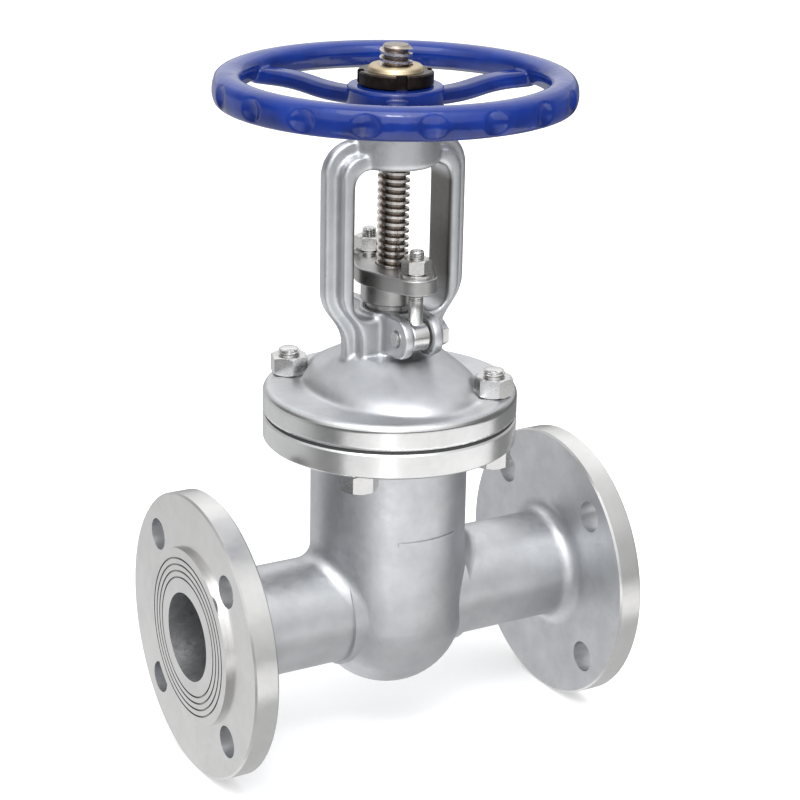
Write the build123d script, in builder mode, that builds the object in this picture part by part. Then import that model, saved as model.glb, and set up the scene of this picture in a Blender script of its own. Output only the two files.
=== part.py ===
from build123d import *
import math
import os

# Rising-stem wedge gate valve, DN50, flanged, outside screw and yoke.
# Millimetres. X is the pipe axis, Z is the stem axis, +Z is up. The origin is where
# the pipe axis meets the stem axis. The valve is modelled closed.

# ---- pipe ends -------------------------------------------------------------------
BORE_RADIUS = 25.0
FACE_TO_FACE = 250.0
END_FLANGE_RADIUS = 80.0
END_FLANGE_THICKNESS = 14.0
RAISED_FACE_RADIUS = 50.0
RAISED_FACE_HEIGHT = 3.0
SEAL_GROOVE_COUNT = 4
SEAL_GROOVE_START_RADIUS = 33.0
SEAL_GROOVE_PITCH = 3.6
SEAL_GROOVE_WIDTH = 1.0
SEAL_GROOVE_DEPTH = 0.8
END_BOLT_CIRCLE_RADIUS = 62.5
END_BOLT_HOLE_RADIUS = 9.0
END_BOLT_COUNT = 4
PIPE_OUTER_RADIUS = 31.0
END_HUB_FILLET = 8.0
EDGE_MATCH = 0.01

# ---- body casting ----------------------------------------------------------------
NECK_RADIUS = 44.0
NECK_WALL = 8.0
BOWL_CENTRE_Z = -6.0
BODY_FLANGE_BOTTOM = 98.2
BODY_FLANGE_TOP = 112.2
BONNET_JOINT_RADIUS = 70.7
PIPE_TO_BOWL_FILLET = 10.0
PIPE_RIDGE_NEAR_X = 10.0
PIPE_RIDGE_FAR_X = 46.0
CASTING_FILLET = 4.0
RIM_CHAMFER = 1.0
GUIDE_HALF_WIDTH = 3.0
GUIDE_INNER_Y = 29.0
GUIDE_OUTER_Y = 40.0
GUIDE_BOTTOM = -22.0
GUIDE_TOP = 96.0
PAD_WIDTH = 37.4
PAD_HEIGHT = 2.0
PAD_PROUD = 0.9
PAD_ROOT_DEPTH = 1.0
PAD_CENTRE_Z = 49.3
PAD_TURN = 3.0

# ---- seats and wedge -------------------------------------------------------------
WEDGE_ANGLE = 5.0
WEDGE_HALF_THICKNESS = 13.0
WEDGE_RADIUS = 30.0
WEDGE_GROOVE_HALF_WIDTH = 3.6
WEDGE_GROOVE_Y = 28.4
WEDGE_HEAD_WIDTH = 34.0
WEDGE_HEAD_ROUNDING = 4.0
WEDGE_HEAD_TOP = 46.0
WEDGE_TO_SEAT_GAP = 0.05
SEAT_OUTER_RADIUS = 29.5
SEAT_INNER_RADIUS = 24.5
SEAT_BACK_X = 26.0
SEAT_PROUD = 1.0
SEAT_BOSS_RADIUS = 33.0
SEAT_BOSS_LENGTH = 37.4

# ---- bonnet joint ----------------------------------------------------------------
GASKET_THICKNESS = 1.5
GASKET_RADIUS = 69.8
GASKET_INNER_RADIUS = 37.0
BONNET_BOTTOM = BODY_FLANGE_TOP + GASKET_THICKNESS
BONNET_FLANGE_TOP = 128.5
BONNET_BOLT_CIRCLE_RADIUS = 59.0
BONNET_BOLT_RADIUS = 6.0
BONNET_HOLE_RADIUS = 6.5
THROUGH_BOLT_ANGLES = (135.0, 315.0)
BLIND_BOLT_ANGLES = (45.0, 225.0)
BONNET_NUT_FLATS = 19.0
BONNET_NUT_HEIGHT = 10.8
BONNET_STUD_TOP = 143.5
BLIND_HOLE_DEPTH = 11.0
BLIND_STUD_DEPTH = 10.0
SPOT_FACE_RADIUS = 13.0
STUD_END_ROUNDING = 2.2
NUT_BEVEL_SHARE = 0.95
NUT_BEVEL_ANGLE = 30.0
BONNET_UPPER_NUT_TURN = 15.0
BONNET_LOWER_NUT_TURN = 45.0
BONNET_TOP_ROUNDING = 4.0

# ---- bonnet dome, stuffing box and yoke -------------------------------------------
# (height, half width along X, half width along Y) of the dome, from the flange up
DOME_SECTIONS = (
    (128.0, 46.8, 61.0),
    (132.0, 45.2, 58.0),
    (137.0, 41.0, 50.5),
    (142.5, 34.5, 39.5),
    (149.5, 26.0, 26.5),
)
DOME_CAVITY_TOP = 134.0
DOME_CAVITY_TOP_RADIUS = 20.0
DOME_CAVITY_RADIUS = 35.8
DOME_CAVITY_WALL_HEIGHT = 6.0
STUFFING_BOX_RADIUS = 18.0
STUFFING_BOX_BOTTOM = 140.0
STUFFING_BOX_TOP = 174.0
PACKING_BORE_RADIUS = 14.2
PACKING_BORE_TOP = 181.0
PACKING_FLOOR = 149.0
STEM_HOLE_RADIUS = 9.3
YOKE_HALF_WIDTH = 36.3
YOKE_PLATE_HALF_DEPTH = 11.75
YOKE_WINDOW_HALF_WIDTH = 29.0
YOKE_WINDOW_BOTTOM = 171.0
YOKE_WINDOW_TOP = 253.6
YOKE_WINDOW_CORNER = 9.0
YOKE_LEG_HALF_WIDTH = 24.0
YOKE_LEG_BOTTOM = 144.0
YOKE_LEG_TOP = 158.0
YOKE_ARM_START = 187.0
YOKE_ARM_END = 250.0
YOKE_PLATE_TOP = 261.5
RIB_OUT = 7.2
RIB_HALF_DEPTH = 4.0
RIB_LEG_OUT = 6.0
RIB_LEG_TOP = 154.0
RIB_WINDOW_STEP = 3.0
YOKE_EDGE_ROUNDING = 1.5
YOKE_HUB_RADIUS = 24.2
YOKE_HUB_TOP = 281.0
YOKE_HUB_ROUNDING = 3.0
EAR_INNER_X = 6.0
EAR_OUTER_X = 12.0
EAR_RADIUS = 11.3

# ---- gland -----------------------------------------------------------------------
EYE_BOLT_Y = 26.5
EYE_PIN_Z = 163.3
EYE_RADIUS = 8.3
EYE_HALF_WIDTH = 5.4
EYE_PIN_RADIUS = 4.0
EYE_SHANK_RADIUS = 4.0
EYE_BOLT_TOP = 211.8
EYE_ROUNDING = 1.5
EYE_SHANK_CHAMFER = 0.8
PIN_HEAD_FLATS = 13.0
PIN_HEAD_HEIGHT = 5.5
PIN_END_PROUD = 1.0
GLAND_FLANGE_BOTTOM = 188.6
GLAND_FLANGE_TOP = 197.6
GLAND_END_RADIUS = 11.5
GLAND_MIDDLE_RADIUS = 21.0
GLAND_EDGE_ROUNDING = 1.2
GLAND_HOLE_CLEARANCE = 0.5
GLAND_WASHER_RADIUS = 9.6
GLAND_WASHER_THICKNESS = 1.6
GLAND_NUT_FLATS = 14.0
GLAND_NUT_HEIGHT = 8.0
GLAND_NUT_TURN = 30.0
GLAND_FOLLOWER_RADIUS = 14.0
GLAND_FOLLOWER_BOTTOM = 169.0
GLAND_COLLAR_RADIUS = 17.2
GLAND_COLLAR_HEIGHT = 11.0
PACKING_RING_COUNT = 4
PACKING_INNER_RADIUS = 9.15
BACKSEAT_OUTER_RADIUS = 13.0
BACKSEAT_BOTTOM = 131.0
BACKSEAT_CONE = 2.5
PACKING_RING_GAP = 0.1

# ---- stem ------------------------------------------------------------------------
STEM_RADIUS = 8.8
STEM_TOP = 317.8
STEM_TOP_CHAMFER = 2.2
STEM_CENTRE_MARK_RADIUS = 2.7
STEM_NECK_RADIUS = 7.0
STEM_NECK_BOTTOM = 39.5
STEM_NECK_TOP = 50.0
STEM_HEAD_RADIUS = 11.0
STEM_HEAD_BOTTOM = 32.5
STEM_COLLAR_RADIUS = 12.0
STEM_COLLAR_BOTTOM = 70.4
STEM_COLLAR_TOP = 74.4
STEM_COLLAR_CONE = 3.2
HEAD_SLOT_CLEARANCE = 0.4

# ---- stem nut and handwheel --------------------------------------------------------
STEM_NUT_BORE_RADIUS = 9.15
STEM_NUT_FLANGE_RADIUS = 19.0
STEM_NUT_FLANGE_TOP = 261.6
STEM_NUT_BOTTOM = 256.0
STEM_NUT_JOURNAL_RADIUS = 16.0
STEM_NUT_JOURNAL_TOP = 282.6
STEM_NUT_NECK_RADIUS = 14.9
STEM_NUT_TOP = 307.0
STEM_NUT_CHAMFER = 1.4
HUB_COUNTERBORE_RADIUS = 19.6
RUNNING_CLEARANCE = 0.05
THRUST_WASHER_THICKNESS = 1.5
UPPER_WASHER_RADIUS = 23.2
THRUST_GAP = 0.1
WHEEL_HUB_RADIUS = 26.0
WHEEL_HUB_BOTTOM = 282.7
WHEEL_HUB_TOP = 296.5
WHEEL_HUB_ROUNDING = 2.0
WHEEL_RIM_OUTER_RADIUS = 97.6
WHEEL_RIM_INNER_RADIUS = 81.5
WHEEL_RIM_CREST_RADIUS = 89.5
WHEEL_RIM_TOP = 303.4
WHEEL_RIM_BOTTOM = 286.3
WHEEL_RIM_INNER_BOTTOM = 290.2
WHEEL_RIM_ROUNDING = 2.0
RIM_FOOT_INSET = 2.0
SCALLOP_COUNT = 18
SCALLOP_START_ANGLE = 12.0
SCALLOP_RADIUS = 12.0
SCALLOP_DEPTH = 3.0
SPOKE_COUNT = 3
SPOKE_START_ANGLE = 2.6
SPOKE_WIDTH = 12.5
SPOKE_HEIGHT = 8.8
SPOKE_ROUNDING = 2.6
SPOKE_START_RADIUS = 23.0
SPOKE_BEND_START_RADIUS = 30.0
SPOKE_BEND_END_RADIUS = 72.0
SPOKE_END_RADIUS = 86.0
SPOKE_INNER_Z = 287.8
SPOKE_OUTER_Z = 292.2
KEY_HALF_WIDTH = 2.5
KEY_DEPTH = 2.0
KEY_PROUD = 2.5
KEY_BOTTOM = 283.5
LOCK_NUT_RADIUS = 20.4
LOCK_NUT_TOP = 304.2
LOCK_NUT_SLOT_COUNT = 4
LOCK_NUT_SLOT_WIDTH = 6.0
LOCK_NUT_SLOT_DEPTH = 3.4
LOCK_NUT_CHAMFER = 0.8
LOCK_NUT_TURN = 70.0

half_length = FACE_TO_FACE / 2
flange_front_x = half_length - RAISED_FACE_HEIGHT
flange_back_x = flange_front_x - END_FLANGE_THICKNESS
wedge_tilt = math.tan(math.radians(WEDGE_ANGLE))
pipe_plane = Plane.YZ

os.makedirs("parts", exist_ok=True)


def save(part, name):
    part.label = name
    export_step(part, f"parts/{name}.step")


def on_circle(radius, angle):
    turn = math.radians(angle)
    return (radius * math.cos(turn), radius * math.sin(turn))


def bonnet_bolt_places(angles):
    return [on_circle(BONNET_BOLT_CIRCLE_RADIUS, angle) for angle in angles]


def seat_plane(side, distance):
    """Tilted seat plane on one side (+1 outlet, -1 inlet), facing away from the wedge."""
    normal = (side * math.cos(math.radians(WEDGE_ANGLE)), 0, -math.sin(math.radians(WEDGE_ANGLE)))
    return Plane(origin=(side * distance, 0, 0), x_dir=(0, 1, 0), z_dir=normal)


all_bolt_places = bonnet_bolt_places(THROUGH_BOLT_ANGLES + BLIND_BOLT_ANGLES)

# ---- valve body --------------------------------------------------------------------
with BuildPart() as body_shell:
    with BuildSketch(Plane.XZ):
        with BuildLine():
            bottom = (0, BOWL_CENTRE_Z - NECK_RADIUS)
            side = (NECK_RADIUS, BOWL_CENTRE_Z)
            CenterArc((0, BOWL_CENTRE_Z), NECK_RADIUS, -90, 90)
            Polyline(side, (NECK_RADIUS, BODY_FLANGE_BOTTOM), (0, BODY_FLANGE_BOTTOM), bottom)
        make_face()
    revolve(axis=Axis.Z)
    with BuildSketch(pipe_plane.offset(-flange_front_x)):
        Circle(PIPE_OUTER_RADIUS)
    extrude(amount=2 * flange_front_x)
    ridge_edges = body_shell.edges().filter_by(lambda edge: edge.geom_type != GeomType.CIRCLE)
    ridge_edges = ridge_edges.filter_by(
        lambda edge: PIPE_RIDGE_NEAR_X < abs(edge.center().X) < PIPE_RIDGE_FAR_X
    )
    ridge_edges = ridge_edges.filter_by(lambda edge: edge.geom_type != GeomType.LINE)
    fillet(ridge_edges, PIPE_TO_BOWL_FILLET)

with BuildPart() as valve_body:
    add(body_shell.part)
    for side in (-1, 1):
        inner_x = side * flange_back_x
        with BuildSketch(pipe_plane.offset(inner_x)):
            Circle(END_FLANGE_RADIUS)
        extrude(amount=side * END_FLANGE_THICKNESS)
        with BuildSketch(pipe_plane.offset(side * flange_front_x)):
            Circle(RAISED_FACE_RADIUS)
        extrude(amount=side * RAISED_FACE_HEIGHT)
    with BuildSketch(Plane.XY.offset(BODY_FLANGE_BOTTOM)):
        Circle(BONNET_JOINT_RADIUS)
    extrude(amount=BODY_FLANGE_TOP - BODY_FLANGE_BOTTOM)
    pipe_ends = valve_body.edges().filter_by(GeomType.CIRCLE)
    pipe_ends = pipe_ends.filter_by(lambda edge: abs(edge.radius - PIPE_OUTER_RADIUS) < EDGE_MATCH)
    pipe_ends = pipe_ends.filter_by(lambda edge: abs(abs(edge.arc_center.X) - flange_back_x) < EDGE_MATCH)
    fillet(pipe_ends, END_HUB_FILLET)
    under_flange = valve_body.edges().filter_by(GeomType.CIRCLE)
    under_flange = under_flange.filter_by(lambda edge: abs(edge.radius - NECK_RADIUS) < EDGE_MATCH)
    under_flange = under_flange.filter_by(
        lambda edge: abs(edge.arc_center.Z - BODY_FLANGE_BOTTOM) < EDGE_MATCH
    )
    fillet(under_flange, CASTING_FILLET)
    rims = valve_body.edges().filter_by(GeomType.CIRCLE)
    rims = rims.filter_by(lambda edge: edge.radius in (END_FLANGE_RADIUS, BONNET_JOINT_RADIUS))
    chamfer(rims, RIM_CHAMFER)
    # raised plain bar cast on the neck
    with BuildSketch(Plane.XY.offset(PAD_CENTRE_Z - PAD_HEIGHT / 2)):
        pad_start = -90 + PAD_TURN - math.degrees(PAD_WIDTH / 2 / NECK_RADIUS)
        pad_sweep = math.degrees(PAD_WIDTH / NECK_RADIUS)
        with BuildLine():
            outer = CenterArc((0, 0), NECK_RADIUS + PAD_PROUD, pad_start, pad_sweep)
            inner = CenterArc((0, 0), NECK_RADIUS - PAD_ROOT_DEPTH, pad_start, pad_sweep)
            Line(outer @ 0, inner @ 0)
            Line(outer @ 1, inner @ 1)
        make_face()
    extrude(amount=PAD_HEIGHT)
    # cavity: round bowl and neck, open at the top
    cavity_radius = NECK_RADIUS - NECK_WALL
    with BuildSketch(Plane.XZ):
        with BuildLine():
            CenterArc((0, BOWL_CENTRE_Z), cavity_radius, -90, 90)
            Polyline(
                (cavity_radius, BOWL_CENTRE_Z),
                (cavity_radius, BODY_FLANGE_TOP),
                (0, BODY_FLANGE_TOP),
                (0, BOWL_CENTRE_Z - cavity_radius),
            )
        make_face()
    revolve(axis=Axis.Z, mode=Mode.SUBTRACT)

with BuildPart() as seat_bosses:
    for side in (-1, 1):
        with BuildSketch(pipe_plane):
            Circle(SEAT_BOSS_RADIUS)
        extrude(amount=side * SEAT_BOSS_LENGTH)
    with BuildSketch(Plane.XZ.offset(-SEAT_BOSS_RADIUS)):
        boss_face = WEDGE_HALF_THICKNESS + SEAT_PROUD
        half = SEAT_BOSS_RADIUS
        with BuildLine():
            Polyline(
                (-boss_face - half * wedge_tilt, half),
                (boss_face + half * wedge_tilt, half),
                (boss_face - half * wedge_tilt, -half),
                (-boss_face + half * wedge_tilt, -half),
                close=True,
            )
        make_face()
    extrude(amount=2 * SEAT_BOSS_RADIUS, mode=Mode.SUBTRACT)

with BuildPart() as body_casting:
    add(valve_body.part)
    add(seat_bosses.part)
    for side in (-1, 1):
        with BuildSketch(Plane.XY.offset(GUIDE_BOTTOM)):
            with Locations((0, side * (GUIDE_INNER_Y + GUIDE_OUTER_Y) / 2)):
                Rectangle(2 * GUIDE_HALF_WIDTH, GUIDE_OUTER_Y - GUIDE_INNER_Y)
        extrude(amount=GUIDE_TOP - GUIDE_BOTTOM)
    # flow bore and seat pockets
    with BuildSketch(pipe_plane.offset(-half_length)):
        Circle(BORE_RADIUS)
    extrude(amount=FACE_TO_FACE, mode=Mode.SUBTRACT)
    with BuildSketch(pipe_plane.offset(-SEAT_BACK_X)):
        Circle(SEAT_OUTER_RADIUS)
    extrude(amount=2 * SEAT_BACK_X, mode=Mode.SUBTRACT)
    # bolt holes in both end flanges
    for side in (-1, 1):
        with BuildSketch(pipe_plane.offset(side * flange_back_x)):
            with PolarLocations(END_BOLT_CIRCLE_RADIUS, END_BOLT_COUNT, start_angle=45):
                Circle(END_BOLT_HOLE_RADIUS)
        extrude(amount=side * END_FLANGE_THICKNESS, mode=Mode.SUBTRACT)
    # bolt holes in the body flange
    with BuildSketch(Plane.XY.offset(BODY_FLANGE_BOTTOM)):
        with Locations(*all_bolt_places):
            Circle(BONNET_HOLE_RADIUS)
    extrude(amount=BODY_FLANGE_TOP - BODY_FLANGE_BOTTOM, mode=Mode.SUBTRACT)
    # turned sealing grooves on the raised faces
    for side in (-1, 1):
        for ring in range(SEAL_GROOVE_COUNT):
            groove = SEAL_GROOVE_START_RADIUS + ring * SEAL_GROOVE_PITCH
            with BuildSketch(pipe_plane.offset(side * half_length)):
                Circle(groove + SEAL_GROOVE_WIDTH)
                Circle(groove, mode=Mode.SUBTRACT)
            extrude(amount=-side * SEAL_GROOVE_DEPTH, mode=Mode.SUBTRACT)
save(body_casting.part, "valve_body")

# ---- seat rings --------------------------------------------------------------------
for side, name in ((-1, "seat_ring_inlet"), (1, "seat_ring_outlet")):
    with BuildPart() as seat_ring:
        with BuildSketch(pipe_plane):
            Circle(SEAT_OUTER_RADIUS)
            Circle(SEAT_INNER_RADIUS, mode=Mode.SUBTRACT)
        extrude(amount=side * SEAT_BACK_X)
        split(bisect_by=seat_plane(side, WEDGE_HALF_THICKNESS + WEDGE_TO_SEAT_GAP), keep=Keep.TOP)
    save(seat_ring.part, name)

# ---- wedge -------------------------------------------------------------------------
with BuildPart() as wedge:
    with BuildSketch(Plane.XZ.offset(-WEDGE_RADIUS)):
        with BuildLine():
            top_half = WEDGE_HALF_THICKNESS + WEDGE_RADIUS * wedge_tilt
            bottom_half = WEDGE_HALF_THICKNESS - WEDGE_RADIUS * wedge_tilt
            Polyline(
                (-top_half, WEDGE_RADIUS),
                (top_half, WEDGE_RADIUS),
                (bottom_half, -WEDGE_RADIUS),
                (-bottom_half, -WEDGE_RADIUS),
                close=True,
            )
        make_face()
    extrude(amount=2 * WEDGE_RADIUS)
    with BuildSketch(pipe_plane.offset(-WEDGE_RADIUS)):
        Circle(WEDGE_RADIUS)
    extrude(amount=2 * WEDGE_RADIUS, mode=Mode.INTERSECT)
    with BuildSketch(Plane.XY):
        RectangleRounded(2 * WEDGE_HALF_THICKNESS, WEDGE_HEAD_WIDTH, WEDGE_HEAD_ROUNDING)
    extrude(amount=WEDGE_HEAD_TOP)
    # side grooves run on the body's guides
    for side in (-1, 1):
        with BuildSketch(Plane.XY.offset(-WEDGE_RADIUS)):
            with Locations((0, side * (WEDGE_GROOVE_Y + WEDGE_RADIUS) / 2)):
                Rectangle(2 * WEDGE_GROOVE_HALF_WIDTH, WEDGE_RADIUS - WEDGE_GROOVE_Y)
        extrude(amount=2 * WEDGE_RADIUS, mode=Mode.SUBTRACT)
    # T slot for the stem head, open along the pipe axis
    with BuildSketch(Plane.YZ.offset(-NECK_RADIUS)):
        head_half = STEM_HEAD_RADIUS + HEAD_SLOT_CLEARANCE
        neck_half = STEM_NECK_RADIUS + HEAD_SLOT_CLEARANCE
        slot_bottom = STEM_HEAD_BOTTOM - HEAD_SLOT_CLEARANCE
        slot_top = STEM_NECK_BOTTOM + HEAD_SLOT_CLEARANCE
        with Locations((0, (slot_bottom + slot_top) / 2)):
            Rectangle(2 * head_half, slot_top - slot_bottom)
        with Locations((0, (slot_bottom + WEDGE_HEAD_TOP) / 2)):
            Rectangle(2 * neck_half, WEDGE_HEAD_TOP - slot_bottom)
    extrude(amount=2 * NECK_RADIUS, mode=Mode.SUBTRACT)
save(wedge.part, "wedge")

# ---- stem --------------------------------------------------------------------------
with BuildPart() as stem:
    with BuildSketch(Plane.XZ):
        with BuildLine():
            Polyline(
                (0, STEM_HEAD_BOTTOM),
                (STEM_HEAD_RADIUS, STEM_HEAD_BOTTOM),
                (STEM_HEAD_RADIUS, STEM_NECK_BOTTOM),
                (STEM_NECK_RADIUS, STEM_NECK_BOTTOM),
                (STEM_NECK_RADIUS, STEM_NECK_TOP),
                (STEM_RADIUS, STEM_NECK_TOP),
                (STEM_RADIUS, STEM_COLLAR_BOTTOM),
                (STEM_COLLAR_RADIUS, STEM_COLLAR_BOTTOM),
                (STEM_COLLAR_RADIUS, STEM_COLLAR_TOP),
                (STEM_RADIUS, STEM_COLLAR_TOP + STEM_COLLAR_CONE),
                (STEM_RADIUS, STEM_TOP - STEM_TOP_CHAMFER),
                (STEM_RADIUS - STEM_TOP_CHAMFER, STEM_TOP),
                (STEM_CENTRE_MARK_RADIUS, STEM_TOP),
                (0, STEM_TOP - STEM_CENTRE_MARK_RADIUS),
                close=True,
            )
        make_face()
    revolve(axis=Axis.Z)
save(stem.part, "stem")

# ---- bonnet gasket -----------------------------------------------------------------
with BuildPart() as bonnet_gasket:
    with BuildSketch(Plane.XY.offset(BODY_FLANGE_TOP)):
        Circle(GASKET_RADIUS)
        Circle(GASKET_INNER_RADIUS, mode=Mode.SUBTRACT)
        with Locations(*all_bolt_places):
            Circle(BONNET_HOLE_RADIUS, mode=Mode.SUBTRACT)
    extrude(amount=GASKET_THICKNESS)
save(bonnet_gasket.part, "bonnet_gasket")

# ---- bonnet and yoke, one casting ----------------------------------------------------
with BuildPart() as yoke_plate:
    with BuildSketch(Plane.XZ):
        with BuildLine() as plate_outline:
            Line((0, YOKE_LEG_BOTTOM), (YOKE_LEG_HALF_WIDTH, YOKE_LEG_BOTTOM))
            leg = Line((YOKE_LEG_HALF_WIDTH, YOKE_LEG_BOTTOM), (YOKE_LEG_HALF_WIDTH, YOKE_LEG_TOP))
            Spline(
                leg @ 1,
                (YOKE_HALF_WIDTH, YOKE_ARM_START),
                tangents=((0, 1), (0, 1)),
            )
            Line((YOKE_HALF_WIDTH, YOKE_ARM_START), (YOKE_HALF_WIDTH, YOKE_ARM_END))
            corner = YOKE_PLATE_TOP - YOKE_ARM_END
            CenterArc((YOKE_HALF_WIDTH - corner, YOKE_ARM_END), corner, 0, 90)
            Line((YOKE_HALF_WIDTH - corner, YOKE_PLATE_TOP), (0, YOKE_PLATE_TOP))
            mirror(about=Plane.YZ)
        make_face()
        with Locations((0, (YOKE_WINDOW_BOTTOM + YOKE_WINDOW_TOP) / 2)):
            RectangleRounded(
                2 * YOKE_WINDOW_HALF_WIDTH,
                YOKE_WINDOW_TOP - YOKE_WINDOW_BOTTOM,
                YOKE_WINDOW_CORNER,
                mode=Mode.SUBTRACT,
            )
    extrude(amount=YOKE_PLATE_HALF_DEPTH, both=True)
    long_edges = yoke_plate.edges().group_by(Axis.Y)
    fillet(long_edges[0] + long_edges[-1], YOKE_EDGE_ROUNDING)

with BuildPart() as yoke_rib:
    with BuildSketch(Plane.XZ):
        with BuildLine():
            leg_x = YOKE_LEG_HALF_WIDTH + RIB_LEG_OUT
            arm_x = YOKE_HALF_WIDTH + RIB_OUT
            Line((0, YOKE_LEG_BOTTOM), (leg_x, YOKE_LEG_BOTTOM))
            Line((leg_x, YOKE_LEG_BOTTOM), (leg_x, RIB_LEG_TOP))
            Spline((leg_x, RIB_LEG_TOP), (arm_x, YOKE_ARM_START), tangents=((0, 1), (0, 1)))
            Line((arm_x, YOKE_ARM_START), (arm_x, YOKE_ARM_END))
            corner = YOKE_PLATE_TOP + RIB_OUT - YOKE_ARM_END
            CenterArc((arm_x - corner, YOKE_ARM_END), corner, 0, 90)
            Line((arm_x - corner, YOKE_PLATE_TOP + RIB_OUT), (0, YOKE_PLATE_TOP + RIB_OUT))
            mirror(about=Plane.YZ)
        make_face()
        with Locations((0, (YOKE_WINDOW_BOTTOM + YOKE_WINDOW_TOP) / 2)):
            RectangleRounded(
                2 * (YOKE_WINDOW_HALF_WIDTH + RIB_WINDOW_STEP),
                YOKE_WINDOW_TOP - YOKE_WINDOW_BOTTOM + 2 * RIB_WINDOW_STEP,
                YOKE_WINDOW_CORNER + RIB_WINDOW_STEP,
                mode=Mode.SUBTRACT,
            )
    extrude(amount=RIB_HALF_DEPTH, both=True)
    long_edges = yoke_rib.edges().group_by(Axis.Y)
    fillet(long_edges[0] + long_edges[-1], YOKE_EDGE_ROUNDING)

with BuildPart() as yoke_hub:
    with BuildSketch(Plane.XY.offset(YOKE_WINDOW_TOP)):
        Circle(YOKE_HUB_RADIUS)
    extrude(amount=YOKE_HUB_TOP - YOKE_WINDOW_TOP)
    fillet(yoke_hub.faces().sort_by(Axis.Z)[0].edges(), YOKE_HUB_ROUNDING)

with BuildPart() as bonnet:
    with BuildSketch(Plane.XY.offset(BONNET_BOTTOM)):
        Circle(BONNET_JOINT_RADIUS)
    extrude(amount=BONNET_FLANGE_TOP - BONNET_BOTTOM)
    rims = bonnet.edges().filter_by(GeomType.CIRCLE).sort_by(Axis.Z)
    chamfer(rims[0], RIM_CHAMFER)
    fillet(rims[-1], BONNET_TOP_ROUNDING)
    for height, half_x, half_y in DOME_SECTIONS:
        with BuildSketch(Plane.XY.offset(height)):
            Ellipse(half_x, half_y)
    loft()
    with BuildSketch(Plane.XY.offset(BONNET_FLANGE_TOP)):
        with Locations(*bonnet_bolt_places(THROUGH_BOLT_ANGLES)):
            Circle(SPOT_FACE_RADIUS)
    extrude(amount=BONNET_STUD_TOP - BONNET_FLANGE_TOP, mode=Mode.SUBTRACT)
    with BuildSketch(Plane.XY.offset(STUFFING_BOX_BOTTOM)):
        Circle(STUFFING_BOX_RADIUS)
    extrude(amount=STUFFING_BOX_TOP - STUFFING_BOX_BOTTOM)
    add(yoke_plate.part)
    add(yoke_rib.part)
    add(yoke_hub.part)
    # two pairs of ears hold the eye bolts
    for ear_x in (-EAR_OUTER_X, EAR_INNER_X):
        with BuildSketch(Plane.YZ.offset(ear_x)):
            with Locations((0, EYE_PIN_Z)):
                SlotCenterToCenter(2 * EYE_BOLT_Y, 2 * EAR_RADIUS)
        extrude(amount=EAR_OUTER_X - EAR_INNER_X)
    # inside: dome cavity, stem hole, packing bore, hub bore
    with BuildSketch(Plane.XZ):
        with BuildLine():
            Polyline(
                (0, BONNET_BOTTOM),
                (DOME_CAVITY_RADIUS, BONNET_BOTTOM),
                (DOME_CAVITY_RADIUS, BONNET_BOTTOM + DOME_CAVITY_WALL_HEIGHT),
                (DOME_CAVITY_TOP_RADIUS, DOME_CAVITY_TOP),
                (BACKSEAT_OUTER_RADIUS, DOME_CAVITY_TOP),
                (BACKSEAT_OUTER_RADIUS, STUFFING_BOX_BOTTOM),
                (STEM_HOLE_RADIUS, STUFFING_BOX_BOTTOM),
                (STEM_HOLE_RADIUS, PACKING_FLOOR),
                (PACKING_BORE_RADIUS, PACKING_FLOOR),
                (PACKING_BORE_RADIUS, PACKING_BORE_TOP),
                (0, PACKING_BORE_TOP),
                close=True,
            )
        make_face()
    revolve(axis=Axis.Z, mode=Mode.SUBTRACT)
    with BuildSketch(Plane.XY.offset(YOKE_WINDOW_TOP)):
        Circle(STEM_NUT_JOURNAL_RADIUS + RUNNING_CLEARANCE)
    extrude(amount=YOKE_HUB_TOP - YOKE_WINDOW_TOP, mode=Mode.SUBTRACT)
    with BuildSketch(Plane.XY.offset(YOKE_WINDOW_TOP)):
        Circle(HUB_COUNTERBORE_RADIUS)
    lower_washer_top = STEM_NUT_FLANGE_TOP + THRUST_GAP + THRUST_WASHER_THICKNESS
    extrude(amount=lower_washer_top - YOKE_WINDOW_TOP, mode=Mode.SUBTRACT)
    # holes: eye bolt pins, through bolts, blind tapped holes
    with BuildSketch(Plane.YZ.offset(-EAR_OUTER_X)):
        with Locations((-EYE_BOLT_Y, EYE_PIN_Z), (EYE_BOLT_Y, EYE_PIN_Z)):
            Circle(EYE_PIN_RADIUS)
    extrude(amount=2 * EAR_OUTER_X, mode=Mode.SUBTRACT)
    with BuildSketch(Plane.XY.offset(BONNET_BOTTOM)):
        with Locations(*bonnet_bolt_places(THROUGH_BOLT_ANGLES)):
            Circle(BONNET_HOLE_RADIUS)
    extrude(amount=BONNET_FLANGE_TOP - BONNET_BOTTOM, mode=Mode.SUBTRACT)
    with BuildSketch(Plane.XY.offset(BONNET_BOTTOM)):
        with Locations(*bonnet_bolt_places(BLIND_BOLT_ANGLES)):
            Circle(BONNET_BOLT_RADIUS)
    extrude(amount=BLIND_HOLE_DEPTH, mode=Mode.SUBTRACT)
save(bonnet.part, "bonnet_and_yoke")

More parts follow.
